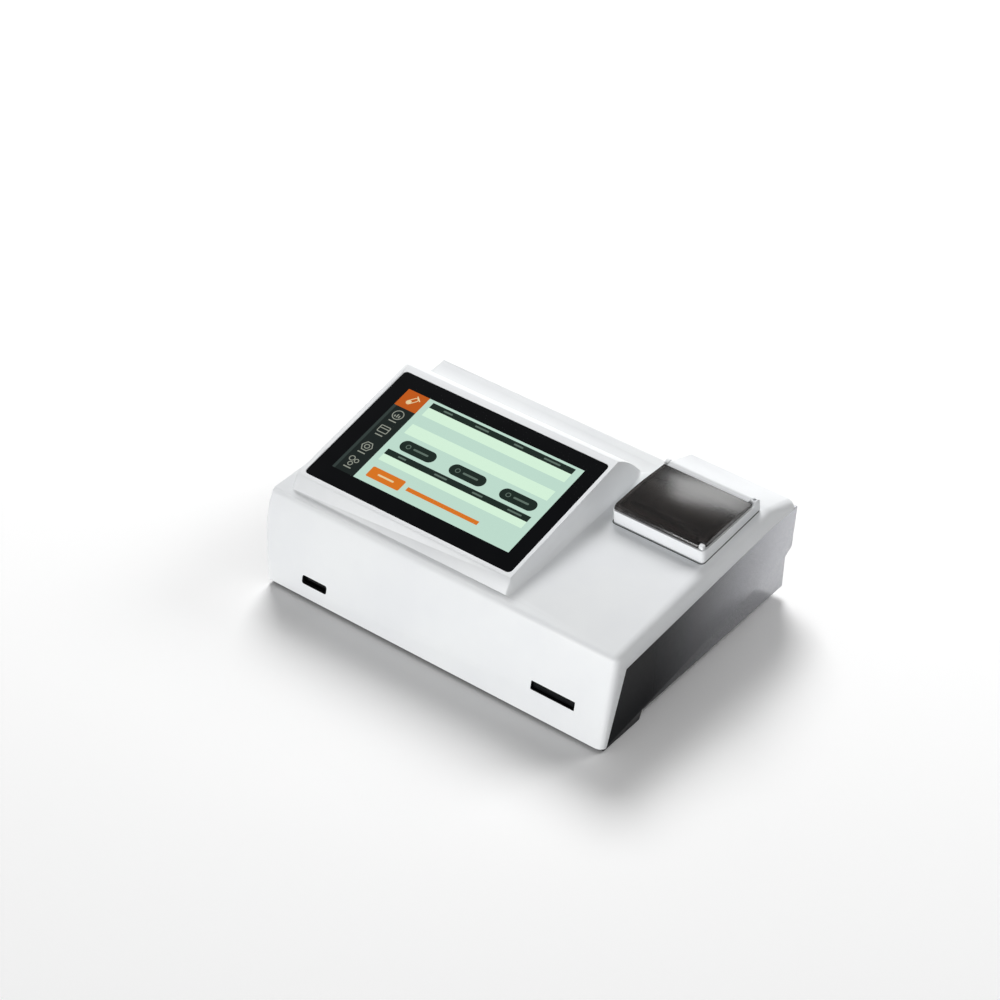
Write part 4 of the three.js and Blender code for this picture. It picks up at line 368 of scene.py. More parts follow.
def make_finishes(settings):
    # White ABS, moulded against a finely sparked wall: satin, even, with a soft broad highlight
    moulded("moulded_white_abs", (settings.white_shade, settings.white), 0.42, specular=0.38)
    # Charcoal ABS with a metal-flake grain, and a painted reflection: near black at the front,
    # silvery at the rear
    case_with_painted_sheen("charcoal_abs_painted_sheen", settings)
    # Smoked polycarbonate: nearly black, with soft reflections and a faint view of the roll
    tints = ("#5f5a58", settings.lid_smoke)
    clear = {"Transmission Weight": 1.0, "Roughness": 0.2, "IOR": 1.58}
    grained("smoked_polycarbonate", tints, 30, (9, 1.0, 0.5), clear, relief=(0.1, 0.02))
    # Coated cover glass with a black printed back: deep black, with only a faint reflection
    tints = ("#0a0b0d", "#0c0d0f")
    coated = {"Specular IOR Level": 0.15, "IOR": GLASS_IOR}
    grained("black_printed_glass", tints, 20, (25, 4.0, 0.5), coated, (0.04, 0.12))
    # The lit picture: flat glowing colours, with the faint grid of the display's dots
    for name, code in PICTURE_COLOURS.items():
        lit_picture(name, code or settings.accent, settings.display_glow)
    # Black nylon and ABS mouldings: dark, half matt
    moulded("black_moulded_nylon", ("#161618", "#1c1c1f"), 0.42, patch=15)
    # Natural acetal gears: milky and waxy
    moulded("natural_acetal", ("#dcdad0", "#e4e2d9"), 0.34, patch=8, depth=0.006)
    # Dark acetal slides: nearly black, and too matt to catch the light in their slot
    moulded("dark_acetal", ("#08090b", "#0b0c0e"), 0.45, depth=0.008, specular=0.1, patch=20)
    # Moulded rubber: matt, nearly black, with a coarse grain
    moulded("moulded_rubber", ("#1b1b1c", "#232324"), 0.78, grain=0.6, depth=0.03, specular=0.3)
    # Ground platen rubber: a matt dark grey
    moulded("ground_rubber", ("#2a2a2b", "#333334"), 0.7, grain=0.25, depth=0.02, specular=0.3)
    # Thermal paper: white, smooth, with faint fibres
    moulded("thermal_paper", ("#eeeeea", "#f4f4f1"), 0.55, grain=0.8, depth=0.006, patch=5)
    # Kraft card tube: brown, fibrous and matt
    moulded("kraft_card", ("#9a7a52", "#ab8a60"), 0.85, grain=0.5, depth=0.03, patch=2)
    # Zinc-plated steel: bright and slightly bluish, with rolled lines
    metal("zinc_plated_steel", ("#c4c7cb", "#d2d4d8"), 0.3, stretch=(1, 6, 6))
    # Nickel-plated shells: warmer and brighter
    metal("nickel_plate", ("#cbc7bf", "#d8d5ce"), 0.22)
    # Gold-plated contacts: yellow and bright
    metal("gold_plate", ("#d9b15a", "#e6c377"), 0.24)
    # Black anodised aluminium: dark metal with a silky grain
    metal("black_anodised_aluminium", ("#1d1e20", "#26272a"), 0.42, stretch=(1, 5, 5))
    # Mill-finish aluminium of heat sinks and cans: pale and softly drawn
    metal("mill_finish_aluminium", ("#b9bcc0", "#c9cccf"), 0.38, stretch=(6, 1, 6))
    # Powder-coated steel of the rear panel: dark, with the orange-peel of sprayed powder
    moulded("powder_coated_steel", ("#26272a", "#2d2e31"), 0.55, grain=1.1, depth=0.05, patch=40)
    # White printing ink on the switch, and the white nylon of the sockets' tongues: flat white
    moulded("white_print", ("#e4e4e2", "#ececea"), 0.6, grain=0.3, patch=3)
    # Black epoxy of chips: matt with a fine grain
    moulded("chip_epoxy", ("#131314", "#19191a"), 0.6, grain=0.2, patch=4)
    # Optical coatings, seen at an angle: nearly clear, violet and orange
    clear_glass("polished_lens_glass", "#f4f8fa")
    clear_glass("coated_mirror_glass", "#c9a8e0")
    clear_glass("orange_filter_glass", "#f0a050")
    # Solder resist over glass epoxy, and the display's flat cable
    circuit_board("green_circuit_board", "#0e4a2c", "#17633c")
    circuit_board("blue_circuit_board", "#12306a", "#1c4488")
    ribbon("flat_ribbon_cable")


# Pieces


def body_of(node):
    """The name of the body that a solid belongs to."""
    return frame["nodes"][node]["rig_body"]


def show(name, mesh, body, finishes, replaces=()):
    """Puts a finished mesh in the scene as a piece that rides on a body, with its faces' paints."""
    paints = [polygon.material_index for polygon in mesh.polygons]
    mesh.name = name
    mesh.materials.clear()
    for finish in finishes:
        mesh.materials.append(FINISHES[finish])
    mesh.polygons.foreach_set("material_index", paints)
    piece = bpy.data.objects.new(name, mesh)
    bpy.context.scene.collection.objects.link(piece)
    mesh.polygons.foreach_set("use_smooth", [True] * len(mesh.polygons))
    mesh.set_sharp_from_angle(angle=SMOOTH_ANGLE)
    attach(piece, body)
    if replaces:
        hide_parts(*replaces)


def round_edges(work, edges, radius, segments):
    """Rounds edges, or chamfers them with one segment."""
    bmesh.ops.bevel(
        work,
        geom=edges,
        offset=radius,
        offset_type="OFFSET",
        segments=segments,
        profile=0.5,
        affect="EDGES",
        clamp_overlap=False,
    )


def edges_to_round(work, radius, sharp):
    """The edges that can carry a rounding of that radius and aren't among the sharp ones."""
    chosen = []
    for edge in work.edges:
        if len(edge.link_faces) != 2 or edge.calc_face_angle(0.0) < ROUND_ANGLE:
            continue
        around = [other.calc_length() for vert in edge.verts for other in vert.link_edges]
        if min(around) > radius * ROUND_ROOM and not (sharp and sharp(edge)):
            chosen.append(edge)
    return chosen


def finished(node, finishes, radius=0.0, segments=2, slot=None, paint=None, sharp=None):
    """The solid as it leaves its mould or press: rounded at its edges, and painted face by face."""
    work = bmesh.new()
    work.from_mesh(frame["nodes"][node].data)
    bmesh.ops.remove_doubles(work, verts=work.verts[:], dist=MERGE_DISTANCE)
    bmesh.ops.dissolve_limit(
        work, angle_limit=FLAT_ANGLE, verts=work.verts[:], edges=work.edges[:]
    )
    if radius:
        round_edges(work, edges_to_round(work, radius, sharp), radius, segments)
    if paint:
        for face in work.faces:
            face.material_index = paint(face)
    mesh = bpy.data.meshes.new(node)
    work.to_mesh(mesh)
    work.free()
    show("finished_" + node, mesh, body_of(node), finishes, (node,))


def finish_each(*rows):
    """Finishes solids that have one finish each.

    A row holds the names of like nodes, their finish and slot, and maybe a rounding and its
    segments. The slot is not used."""
    for nodes, finish, slot, *rounding in rows:
        for node in nodes.split():
            finished(node, [finish], *rounding, slot=slot)


def with_finish(mesh, finish):
    """The mesh, all in one finish."""
    mesh.materials.clear()
    mesh.materials.append(FINISHES[finish])
    return mesh


def mesh_from(work):
    """The mesh of what a bmesh holds, with its faces turned outwards."""
    bmesh.ops.recalc_face_normals(work, faces=work.faces[:])
    mesh = bpy.data.meshes.new("part")
    work.to_mesh(mesh)
    work.free()
    return mesh


def show_joined(name, meshes, body, replaces=()):
    """Shows several meshes as one piece, each in its own finish."""
    work = bmesh.new()
    finishes = []
    for mesh in meshes:
        finish = mesh.materials[0].name
        if finish not in finishes:
            finishes.append(finish)
        base = len(work.faces)
        work.from_mesh(mesh)
        work.faces.ensure_lookup_table()
        for face in work.faces[base:]:
            face.material_index = finishes.index(finish)
    result = bpy.data.meshes.new(name)
    work.to_mesh(result)
    work.free()
    show(name, result, body, finishes, replaces)


def drawn(draw, *facts):
    """The mesh of a single shape."""
    work = bmesh.new()
    draw(work, *facts)
    return mesh_from(work)


def stack(work, rings, paint=0):
    """Adds a closed body through a stack of rings of points that all have the same count."""
    rows = [[work.verts.new(point) for point in ring] for ring in rings]
    for lower, upper in zip(rows, rows[1:]):
        for i in range(len(lower)):
            j = (i + 1) % len(lower)
            work.faces.new((lower[i], lower[j], upper[j], upper[i])).material_index = paint
    work.faces.new(list(reversed(rows[0]))).material_index = paint
    work.faces.new(rows[-1]).material_index = paint


def prism(work, outline, low, high, place, paint=0):
    """Adds a closed slab: an anticlockwise outline in millimetres, between two levels."""
    rings = [[place @ mm(x, y, level) for x, y in outline] for level in (low, high)]
    stack(work, rings, paint)


def loop(work, outer, inner, low, high, place, paint=0):
    """Adds a closed ring between two outlines with the same number of points."""
    outer_low, outer_high, inner_low, inner_high = (
        [work.verts.new(place @ mm(x, y, level)) for x, y in outline]
        for outline in (outer, inner)
        for level in (low, high)
    )
    for i in range(len(outer)):
        j = (i + 1) % len(outer)
        for quad in (
            (outer_low[i], outer_low[j], outer_high[j], outer_high[i]),
            (inner_low[j], inner_low[i], inner_high[i], inner_high[j]),
            (outer_high[i], outer_high[j], inner_high[j], inner_high[i]),
            (outer_low[j], outer_low[i], inner_low[i], inner_low[j]),
        ):
            work.faces.new(quad).material_index = paint


def rectangle(left, right, low, high, radius=0.0, steps=6):
    """A rectangle's outline, anticlockwise, with rounded corners."""
    if not radius:
        return [(left, low), (right, low), (right, high), (left, high)]
    points = []
    for x, y, start in (
        (right - radius, low + radius, -90),
        (right - radius, high - radius, 0),
        (left + radius, high - radius, 90),
        (left + radius, low + radius, 180),
    ):
        for i in range(steps + 1):
            turn = math.radians(start + 90 * i / steps)
            points.append((x + radius * math.cos(turn), y + radius * math.sin(turn)))
    return points


def regular(x, y, radius, sides=24):
    """A regular polygon's outline, anticlockwise."""
    turns = [2 * math.pi * i / sides for i in range(sides)]
    return [(x + radius * math.cos(turn), y + radius * math.sin(turn)) for turn in turns]


# Repeats


def new_tree(name, sockets):
    """An empty geometry tree with a geometry in and out, the named inputs and a finish."""
    tree = bpy.data.node_groups.new(name, "GeometryNodeTree")
    tree.interface.new_socket("Geometry", in_out="OUTPUT", socket_type="NodeSocketGeometry")
    for label, kind in {"Geometry": "Geometry", **sockets, "Finish": "Material"}.items():
        tree.interface.new_socket(label, in_out="INPUT", socket_type="NodeSocket" + kind)
    return tree, add_node(tree, "NodeGroupInput").outputs


def ended(tree, given, last):
    """The tree with its end: what it made is made real and given its finish."""
    real = add_node(tree, "GeometryNodeRealizeInstances", {"Geometry": last})
    coloured = {"Geometry": real, "Material": given["Finish"]}
    result = add_node(tree, "GeometryNodeSetMaterial", coloured)
    add_node(tree, "NodeGroupOutput", {"Geometry": result})
    return tree


def line_tree():
    """Repeats the piece's own mesh along a straight line."""
    tree, given = new_tree("row_of_parts", {"Count": "Int", "Start": "Vector", "Step": "Vector"})
    places = {"Count": given["Count"], "Start Location": given["Start"], "Offset": given["Step"]}
    line = add_node(tree, "GeometryNodeMeshLine", places, mode="OFFSET")
    copies = {"Points": line, "Instance": given["Geometry"]}
    return ended(tree, given, add_node(tree, "GeometryNodeInstanceOnPoints", copies))


def places_tree():
    """Repeats one part's mesh at every point of the piece's own mesh."""
    tree, given = new_tree("part_at_each_place", {"Part": "Object", "Turn": "Rotation"})
    part = add_node(tree, "GeometryNodeObjectInfo", {"Object": given["Part"]})
    copies = {
        "Points": given["Geometry"],
        "Instance": part.outputs["Geometry"],
        "Rotation": given["Turn"],
    }
    return ended(tree, given, add_node(tree, "GeometryNodeInstanceOnPoints", copies))


def wound_tree():
    """A strip of paper wound on itself about the Z axis."""
    sizes = ("Turns", "Inner Radius", "Outer Radius", "Width", "Thickness")
    tree, given = new_tree("wound_strip", dict.fromkeys(sizes, "Float"))
    turns = {
        "Resolution": 56,
        "Rotations": given["Turns"],
        "Start Radius": given["Inner Radius"],
        "End Radius": given["Outer Radius"],
        "Height": 0.0,
    }
    section = {"Width": given["Thickness"], "Height": given["Width"]}
    strip = {
        "Curve": add_node(tree, "GeometryNodeCurveSpiral", turns),
        "Profile Curve": add_node(tree, "GeometryNodeCurvePrimitiveQuadrilateral", section),
        "Fill Caps": True,
    }
    return ended(tree, given, add_node(tree, "GeometryNodeCurveToMesh", strip))


def grown(maker, mesh, finish, values):
    """The plain mesh that a maker's tree makes of a mesh, in one finish, with its inputs set."""
    if maker not in TREES:
        TREES[maker] = maker()
    tree = TREES[maker]
    seed = bpy.data.objects.new("seed", mesh)
    bpy.context.scene.collection.objects.link(seed)
    modifier = seed.modifiers.new("grow", "NODES")
    names = {
        item.name: item.identifier
        for item in tree.interface.items_tree
        if item.item_type == "SOCKET" and item.in_out == "INPUT"
    }
    modifier.node_group = tree
    for label, value in {**values, "Finish": FINISHES[finish]}.items():
        modifier[names[label]] = value
    graph = bpy.context.evaluated_depsgraph_get()
    result = bpy.data.meshes.new_from_object(
        seed.evaluated_get(graph), preserve_all_data_layers=True, depsgraph=graph
    )
    seed.modifiers.remove(modifier)
    bpy.data.objects.remove(seed)
    return with_finish(result, finish)


def row(mesh, count, start, step, finish):
    """A row of like parts: the mesh is one part, and the step is along X."""
    values = {"Count": count, "Start": tuple(start), "Step": (step, 0, 0)}
    return grown(line_tree, mesh, finish, values)


def show_screws(name, mesh, places, degrees, body, replaces=()):
    """Shows one steel screw at each place, turned about X, as one piece."""
    part = bpy.data.objects.new("screw", mesh)
    bpy.context.scene.collection.objects.link(part)
    points = bpy.data.meshes.new("places")
    points.from_pydata([tuple(place) for place in places], [], [])
    turn = (math.radians(degrees), 0, 0)
    result = grown(places_tree, points, "zinc_plated_steel", {"Part": part, "Turn": turn})
    bpy.data.objects.remove(part)
    show(name, result, body, ["zinc_plated_steel"], replaces)


def block_mesh(width, length, height, chamfer=0.0):
    """A small block centred on the origin, in millimetres, with its upper edges chamfered."""
    work = bmesh.new()
    outline = rectangle(-width / 2, width / 2, -length / 2, length / 2)
    prism(work, outline, -height / 2, height / 2, Matrix.Identity(4))
    if chamfer:
        tops = [edge for edge in work.edges if all(vert.co.z > 0 for vert in edge.verts)]
        round_edges(work, tops, chamfer * MM, 1)
    return mesh_from(work)


def cross_points(arm, half, height):
    """The outline of a cross recess, a point for each point of a ring about it."""
    points = []
    for i in range(SCREW_SIDES):
        turn = 2 * math.pi * i / SCREW_SIDES
        off = (turn + math.pi / 4) % (math.pi / 2) - math.pi / 4
        reach = min(arm / math.cos(off), half / max(abs(math.sin(off)), half / arm))
        points.append(mm(math.cos(turn) * reach, math.sin(turn) * reach, height))
    return points


def screw_mesh(head, head_height, shank, length, turns):
    """A cross-recessed screw with its head up, and the head's face at height zero.

    Its head and its shank are given by their radii, in mm."""
    tip = -head_height - length
    pitch = length / (turns + 1)
    steps = [(shank * 0.4, tip)]
    for i in range(turns * 2):
        steps.append((shank if i % 2 else shank * 0.8, tip + pitch * (0.6 + i / 2)))
    steps += [
        (shank, -head_height - 0.2),
        (shank, -head_height),
        (head * 0.96, -head_height),
        (head, -head_height + 0.15),
        (head, -head_height * 0.45),
        (head * 0.92, -head_height * 0.16),
        (head * 0.78, 0),
    ]
    rings = [
        [mm(x, y, height) for x, y in regular(0, 0, radius, SCREW_SIDES)]
        for radius, height in steps
    ]
    rings.append(cross_points(head * 0.6, head * 0.13, 0))
    rings.append(cross_points(head * 0.42, head * 0.09, -head_height * 0.62))
    return drawn(stack, rings)


# Sizes and colours that a user would change


def length(name, description, default, low):
    """A length's property."""
    return bpy.props.FloatProperty(
        name=name, description=description, default=default, min=low, unit="LENGTH"
    )


def colour(name, description, code):
    """A colour's property."""
    return bpy.props.FloatVectorProperty(
        name=name, description=description, default=linear(code), min=0.0, max=1.0, subtype="COLOR"
    )


class ReaderSizes(bpy.types.PropertyGroup):
    shell_rounding: length(
        "Shell rounding", "Radius of the moulded edges of the cover and the case", 0.5 * MM, 0.0
    )
    small_rounding: length(
        "Small rounding", "Radius of the edges of the small mouldings", 0.28 * MM, 0.0
    )
    tooth_pitch: length(
        "Tooth pitch", "Distance between the teeth of the tear bar", 1.2 * MM, 0.4 * MM
    )
    roll_layer: length(
        "Roll layer",
        "Thickness of a drawn layer of the paper roll; the real paper is a tenth of it",
        0.5 * MM,
        0.1 * MM,
    )
    paper_thickness: length(
        "Paper thickness", "Thickness of the loose end of the paper", 0.1 * MM, 0.05 * MM
    )


class ReaderColours(bpy.types.PropertyGroup):
    white: colour("Cover white", "Colour of the cover and the printer's frame", "#e9ebec")
    white_shade: colour(
        "Cover white, shade", "The slightly darker white that the moulding drifts to", "#e5e7e9"
    )
    charcoal: colour("Case charcoal", "Colour of the lower case", "#0e0f12")
    # The colour that the case's painted reflection reaches at the rear; the flakes' density stands
    # for it
    charcoal_painted_sheen: colour(
        "Case flakes", "Colour of the lower case where its flakes are densest", "#c4c5ca"
    )
    lid_smoke: colour("Lid smoke", "Tint of the printer's lid", "#66605e")
    accent: colour("Display accent", "Colour of the display's buttons", "#d8741f")
    display_glow: bpy.props.FloatProperty(
        name="Display glow",
        description="How bright the display's picture is; 1 shows its colours as they are written",
        default=1.0,
        min=0.0,
        max=2.0,
    )


class ReaderOperator:
    """Shared by the operators: the sizes, and the finishes made once in the user's colours."""

    @staticmethod
    def settings(context):
        if "moulded_white_abs" not in FINISHES:
            make_finishes(context.scene.reader_colours)
        return context.scene.reader_sizes


# Stage


def floor_finish():
    """A matt painted studio floor: white to the eye, and darker where it only throws light back."""
    tree, shader = blank_finish("matt_studio_floor")
    ray = add_node(tree, "ShaderNodeLightPath").outputs
    kinds = {0: ray["Is Camera Ray"], 1: ray["Is Glossy Ray"]}
    seen = add_node(tree, "ShaderNodeMath", kinds, operation="MAXIMUM")
    shades = ((0.0, "#a8a8a8"), (1.0, "#ffffff"))
    colour = add_node(tree, "ShaderNodeValToRGB", {"Fac": seen}, shades)
    fill(shader, {"Base Color": colour, "Roughness": 0.9, "Specular IOR Level": 0.0})
    return FINISHES["matt_studio_floor"]


def studio_world(scene):
    """White behind the object, and a soft dimmer light from all round."""
    world = bpy.data.worlds.new("studio")
    world.use_nodes = True
    scene.world = world
    tree = world.node_tree
    tree.nodes.clear()
    ray = add_node(tree, "ShaderNodeLightPath").outputs
    kinds = {0: ray["Is Camera Ray"], 1: ray["Is Transmission Ray"]}
    seen = add_node(tree, "ShaderNodeMath", kinds, operation="MAXIMUM")
    light, white, gloss = (
        add_node(tree, "ShaderNodeBackground", {"Color": opaque("#ffffff"), "Strength": strength})
        for strength in (WORLD_LIGHT, WORLD_SEEN, WORLD_MIRRORED)
    )
    mirrored = add_node(tree, "ShaderNodeMixShader", {0: ray["Is Glossy Ray"], 1: light, 2: gloss})
    mix = add_node(tree, "ShaderNodeMixShader", {0: seen, 1: mirrored, 2: white})
    add_node(tree, "ShaderNodeOutputWorld", {"Surface": mix})


def lamp(name, place, aim, width, watts, height=None):
    """A soft lamp at a place, facing a point: square, unless its height is given."""
    data = bpy.data.lights.new(name, "AREA")
    data.shape = "RECTANGLE"
    data.size = width
    data.size_y = height or width
    data.energy = watts
    item = bpy.data.objects.new(name, data)
    bpy.context.scene.collection.objects.link(item)
    item.location = place
    item.rotation_euler = (Vector(aim) - Vector(place)).to_track_quat("-Z", "Y").to_euler()
    return item


class READER_OT_stage(bpy.types.Operator):
    """Makes the floor, the studio light and the camera"""

    bl_idname = "reader.stage"
    bl_label = "Stage"

    def execute(self, context):
        scene = context.scene
        work = bmesh.new()
        corners = rectangle(-FLOOR_HALF, FLOOR_HALF, -FLOOR_HALF, FLOOR_HALF)
        work.faces.new([work.verts.new((x, y, 0)) for x, y in corners])
        mesh = bpy.data.meshes.new("studio_floor")
        work.to_mesh(mesh)
        work.free()
        floor = bpy.data.objects.new("studio_floor", mesh)
        scene.collection.objects.link(floor)
        mesh.materials.append(floor_finish())
        studio_world(scene)
        # The lid and the display would mirror these two whole, so they light matt surfaces only
        for item in (
            lamp("key", (-1.44, 1.8, 2.28), (0, 0, 0), width=1.3, watts=96),
            lamp("rim", (1.1, 1.9, 1.5), (0, 0, 0), width=1.0, watts=19),
        ):
            item.visible_glossy = False
            item.visible_transmission = False
        lamp("front", (0.3, -2.35, 0.16), (0, 0, 0.05), width=2.4, watts=49, height=0.3)
        # A card close to the printer, seen only as the bright rear of the lid's reflection
        middle = spot("printer_lid", 0.5, 0.5, 0.5)
        place = middle + LID_CARD_DISTANCE * LID_MIRROR
        card = lamp("lid_card", place, middle, width=0.36, watts=1.7)
        card.visible_diffuse = False
        camera_data = bpy.data.cameras.new("photo_view")
        camera_data.lens = CAMERA_LENS
        camera_data.sensor_width = CAMERA_SENSOR
        camera = bpy.data.objects.new("photo_view", camera_data)
        scene.collection.objects.link(camera)
        camera.matrix_world = CAMERA_PLACE
        scene.camera = camera
        scene.view_settings.view_transform = "Standard"
        return {"FINISHED"}


# The reader's pieces


def slot_shade_paint(face):
    """Black for the walls inside the cover's two front slots: painted shade for their deep
    recesses.
    """
    place = face.calc_center_median()
    inside = any(
        left * MM < place.x < right * MM and low * MM < place.z < high * MM
        for left, right, low, high in FRONT_SLOTS
    )
    return 1 if inside and place.y < SLOT_DEPTH and abs(face.normal.y) < 0.5 else 0


def at_glass(edge):
    """Whether an edge is on the glass's seat, whose left rim is too narrow to round twice."""
    low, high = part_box("display_glass")
    return all(
        low.x - SEAT_REACH < vert.co.x < high.x + SEAT_REACH
        and low.y - SEAT_REACH < vert.co.y < high.y + SEAT_REACH
        for vert in edge.verts
    )


class READER_OT_shell(ReaderOperator, bpy.types.Operator):
    """Makes the white cover and the charcoal case with their moulded edges"""

    bl_idname = "reader.shell"
    bl_label = "Cover and case"

    def execute(self, context):
        rounding = self.settings(context).shell_rounding
        # The second finish paints the walls inside the front slots black: painted shade
        both = ["moulded_white_abs", "black_moulded_nylon"]
        finished("top_cover", both, rounding, 3, "white_shell", paint=slot_shade_paint, sharp=at_glass)
        # The case's colour carries a painted reflection, lighter toward the rear
        finished("lower_case", ["charcoal_abs_painted_sheen"], rounding, 3, "dark_case")
        return {"FINISHED"}


class READER_OT_display(ReaderOperator, bpy.types.Operator):
    """Makes the cover glass and the lit picture under its coating"""

    bl_idname = "reader.display"
    bl_label = "Display"

    # The picture's layers, in mm over the glass: all start just under it
    sunk = -0.05
    levels = (0.03, 0.06, 0.09, 0.12)

    def execute(self, context):
        small = self.settings(context).small_rounding
        finished("display_glass", ["black_printed_glass"], small, 3, "cover_glass")
        paints = list(PICTURE_COLOURS)
        ground, light_row, dark, column, orange, tile, line, pale, mark, edge = range(len(paints))
        # The lit area starts 13.4 mm and 14.1 mm in from the glass's corner. Its places are in mm.
        place = DISPLAY @ Matrix.Translation(mm(13.4, 14.1, 0))
        work = bmesh.new()

        def plate(outline, layer, paint):
            prism(work, outline, self.sunk, self.levels[layer], place, paint)

        plate(rectangle(0, 154.2, 0, 85.9), 0, ground)
        plate(rectangle(0, 19, 0, 69), 1, column)
        plate(rectangle(0, 19, 69, 85.9), 1, tile)
        plate(rectangle(0, 2.4, 0, 69), 2, edge)
        for low, high in ((70.2, 78.9), (50.5, 60.4), (21.6, 28.4)):
            plate(rectangle(23.8, 148.4, low, high), 1, light_row)
        for low, high, marks in (
            (78.6, 83.8, ((39, 8), (69, 12), (101, 8), (130, 14))),
            (28.0, 33.2, ((38, 7), (72, 11), (104, 9), (136, 12))),
        ):
            plate(rectangle(23.8, 148.4, low, high), 2, dark)
            middle = (low + high) / 2
            for centre, width in marks:
                left, right = centre - width / 2, centre + width / 2
                plate(rectangle(left, right, middle - 0.7, middle + 0.7, 0.6, 3), 3, mark)
        for centre in (43.6, 87.2, 131):
            plate(rectangle(centre - 15.2, centre + 15.2, 36.3, 46.5, 5.05, 10), 2, dark)
            self.ring(work, place, mark, centre - 8.5, 41.4, 2.0, 1.4)
            plate(rectangle(centre - 4, centre + 9, 40.6, 42.2, 0.7, 3), 3, mark)
        plate(rectangle(25.6, 54.4, 5.1, 15.0, 1.2), 2, orange)
        plate(rectangle(33, 47, 9.3, 10.8, 0.7, 3), 3, pale)
        self.icons(work, place, line, pale)
        show("display_picture", mesh_from(work), "reader", paints)
        # The progress bar: like segments in a row, 2.95 mm apart
        outline = rectangle(-1.45, 1.45, -1.75, 1.75)
        tilt = DISPLAY.to_3x3().to_4x4()
        segment = drawn(prism, outline, self.sunk, self.levels[2], tilt)
        bar = row(segment, 21, place @ mm(60.1, 10, 0), 2.95 * MM, "picture_orange")
        show("display_progress_bar", bar, "reader", ["picture_orange"])
        return {"FINISHED"}

    def ring(self, work, place, paint, x, y, radius, hole, sides=24):
        """A ring printed on the picture, round or with the sides that are given."""
        outlines = (regular(x, y, radius, sides), regular(x, y, hole, sides))
        loop(work, *outlines, self.sunk, self.levels[3], place, paint)

    def icons(self, work, place, line, pale):
        """Plain line motifs: a chart, a card, a nut, three drops and a tube."""
        span = (self.sunk, self.levels[3])
        self.ring(work, place, line, 9.4, 61.7, 4.5, 3.8, 32)
        for x, reach in ((7.6, 0.6), (9.4, 2.0), (11.2, 1.2)):
            prism(work, rectangle(x - 0.45, x + 0.45, 59.4, 60.6 + reach), *span, place, line)
        card = (rectangle(5.0, 13.8, 42.4, 49.2, 1.2), rectangle(5.7, 13.1, 43.1, 48.5, 0.6))
        loop(work, *card, *span, place, line)
        prism(work, rectangle(5.6, 13.2, 46.2, 46.9), *span, place, line)
        self.ring(work, place, line, 9.4, 27.1, 4.7, 3.9, 6)
        self.ring(work, place, line, 9.4, 27.1, 2.2, 1.5)
        for x, y, radius in ((7.4, 13.2, 2.4), (11.9, 12.4, 1.9), (9.2, 8.6, 2.0)):
            self.ring(work, place, line, x, y, radius, radius - 0.65)
        for y in (54.6, 39.4, 20.1, 4.4):
            prism(work, rectangle(6.2, 12.6, y, y + 0.9), *span, place, line)
        place = place @ Matrix.Translation(mm(9.6, 77.6, 0)) @ turned(-38, "Z")
        tube = (rectangle(-2.0, 2.0, -4.8, 4.4, 1.9), rectangle(-1.3, 1.3, -4.1, 3.9, 1.2))
        loop(work, *tube, *span, place, pale)
        prism(work, rectangle(-1.2, 1.2, -4.0, -0.6, 1.1), *span, place, pale)
        prism(work, rectangle(-2.8, 2.8, 4.2, 5.1), *span, place, pale)


class READER_OT_printer_shell(ReaderOperator, bpy.types.Operator):
    """Makes the printer's frame, its smoked lid with the hinge bar, and the catch"""

    bl_idname = "reader.printer_shell"
    bl_label = "Printer frame and lid"

    def execute(self, context):
        small = self.settings(context).small_rounding
        finish_each(
            ("printer_frame lid_hinge_bar", "moulded_white_abs", "white_shell", small, 3),
            ("printer_lid", "smoked_polycarbonate", "smoked_lid", small, 3),
            ("lid_catch", "moulded_white_abs", "white_shell", 0.25 * MM),
        )
        with_finish(frame["nodes"]["lid_hinge_pin"].data, "zinc_plated_steel")
        self.painted_foot_shade()
        self.hinge_screw()
        return {"FINISHED"}

    def painted_foot_shade(self):
        """A thin dark rubber strip between the printer's frame and the sloping cover: painted shade
        for the shaded gap at the frame's foot.
        """
        low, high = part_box("printer_frame")
        left, right, front, rear = (v / MM for v in (low.x, high.x, low.y, high.y))
        slope = Matrix.Identity(4)
        slope[2][1] = COVER_RISE
        slope[2][3] = COVER_LEVEL
        outer = rectangle(left - 0.35, right + 0.35, front - 0.35, rear + 0.35, 3.35)
        inner = rectangle(left + 0.3, right - 0.3, front + 0.3, rear - 0.3, 2.7)
        shade_strip = drawn(loop, outer, inner, -0.3, 0.12, slope)
        # Painted shade: a dark strip where the gap at the frame's foot lies in shade
        show("printer_seal", shade_strip, body_of("printer_frame"), ["moulded_rubber"])

    def hinge_screw(self):
        """The small screw that holds the hinge's right end."""
        place = spot("printer_frame", 1, 1, 1) - mm(2.9, 4.3, 1.15)
        tilt = math.degrees(math.atan(COVER_RISE))
        screw = screw_mesh(head=1.3, head_height=0.8, shank=0.6, length=2.0, turns=3)
        show_screws("hinge_screw", screw, [place], tilt, body_of("printer_frame"))


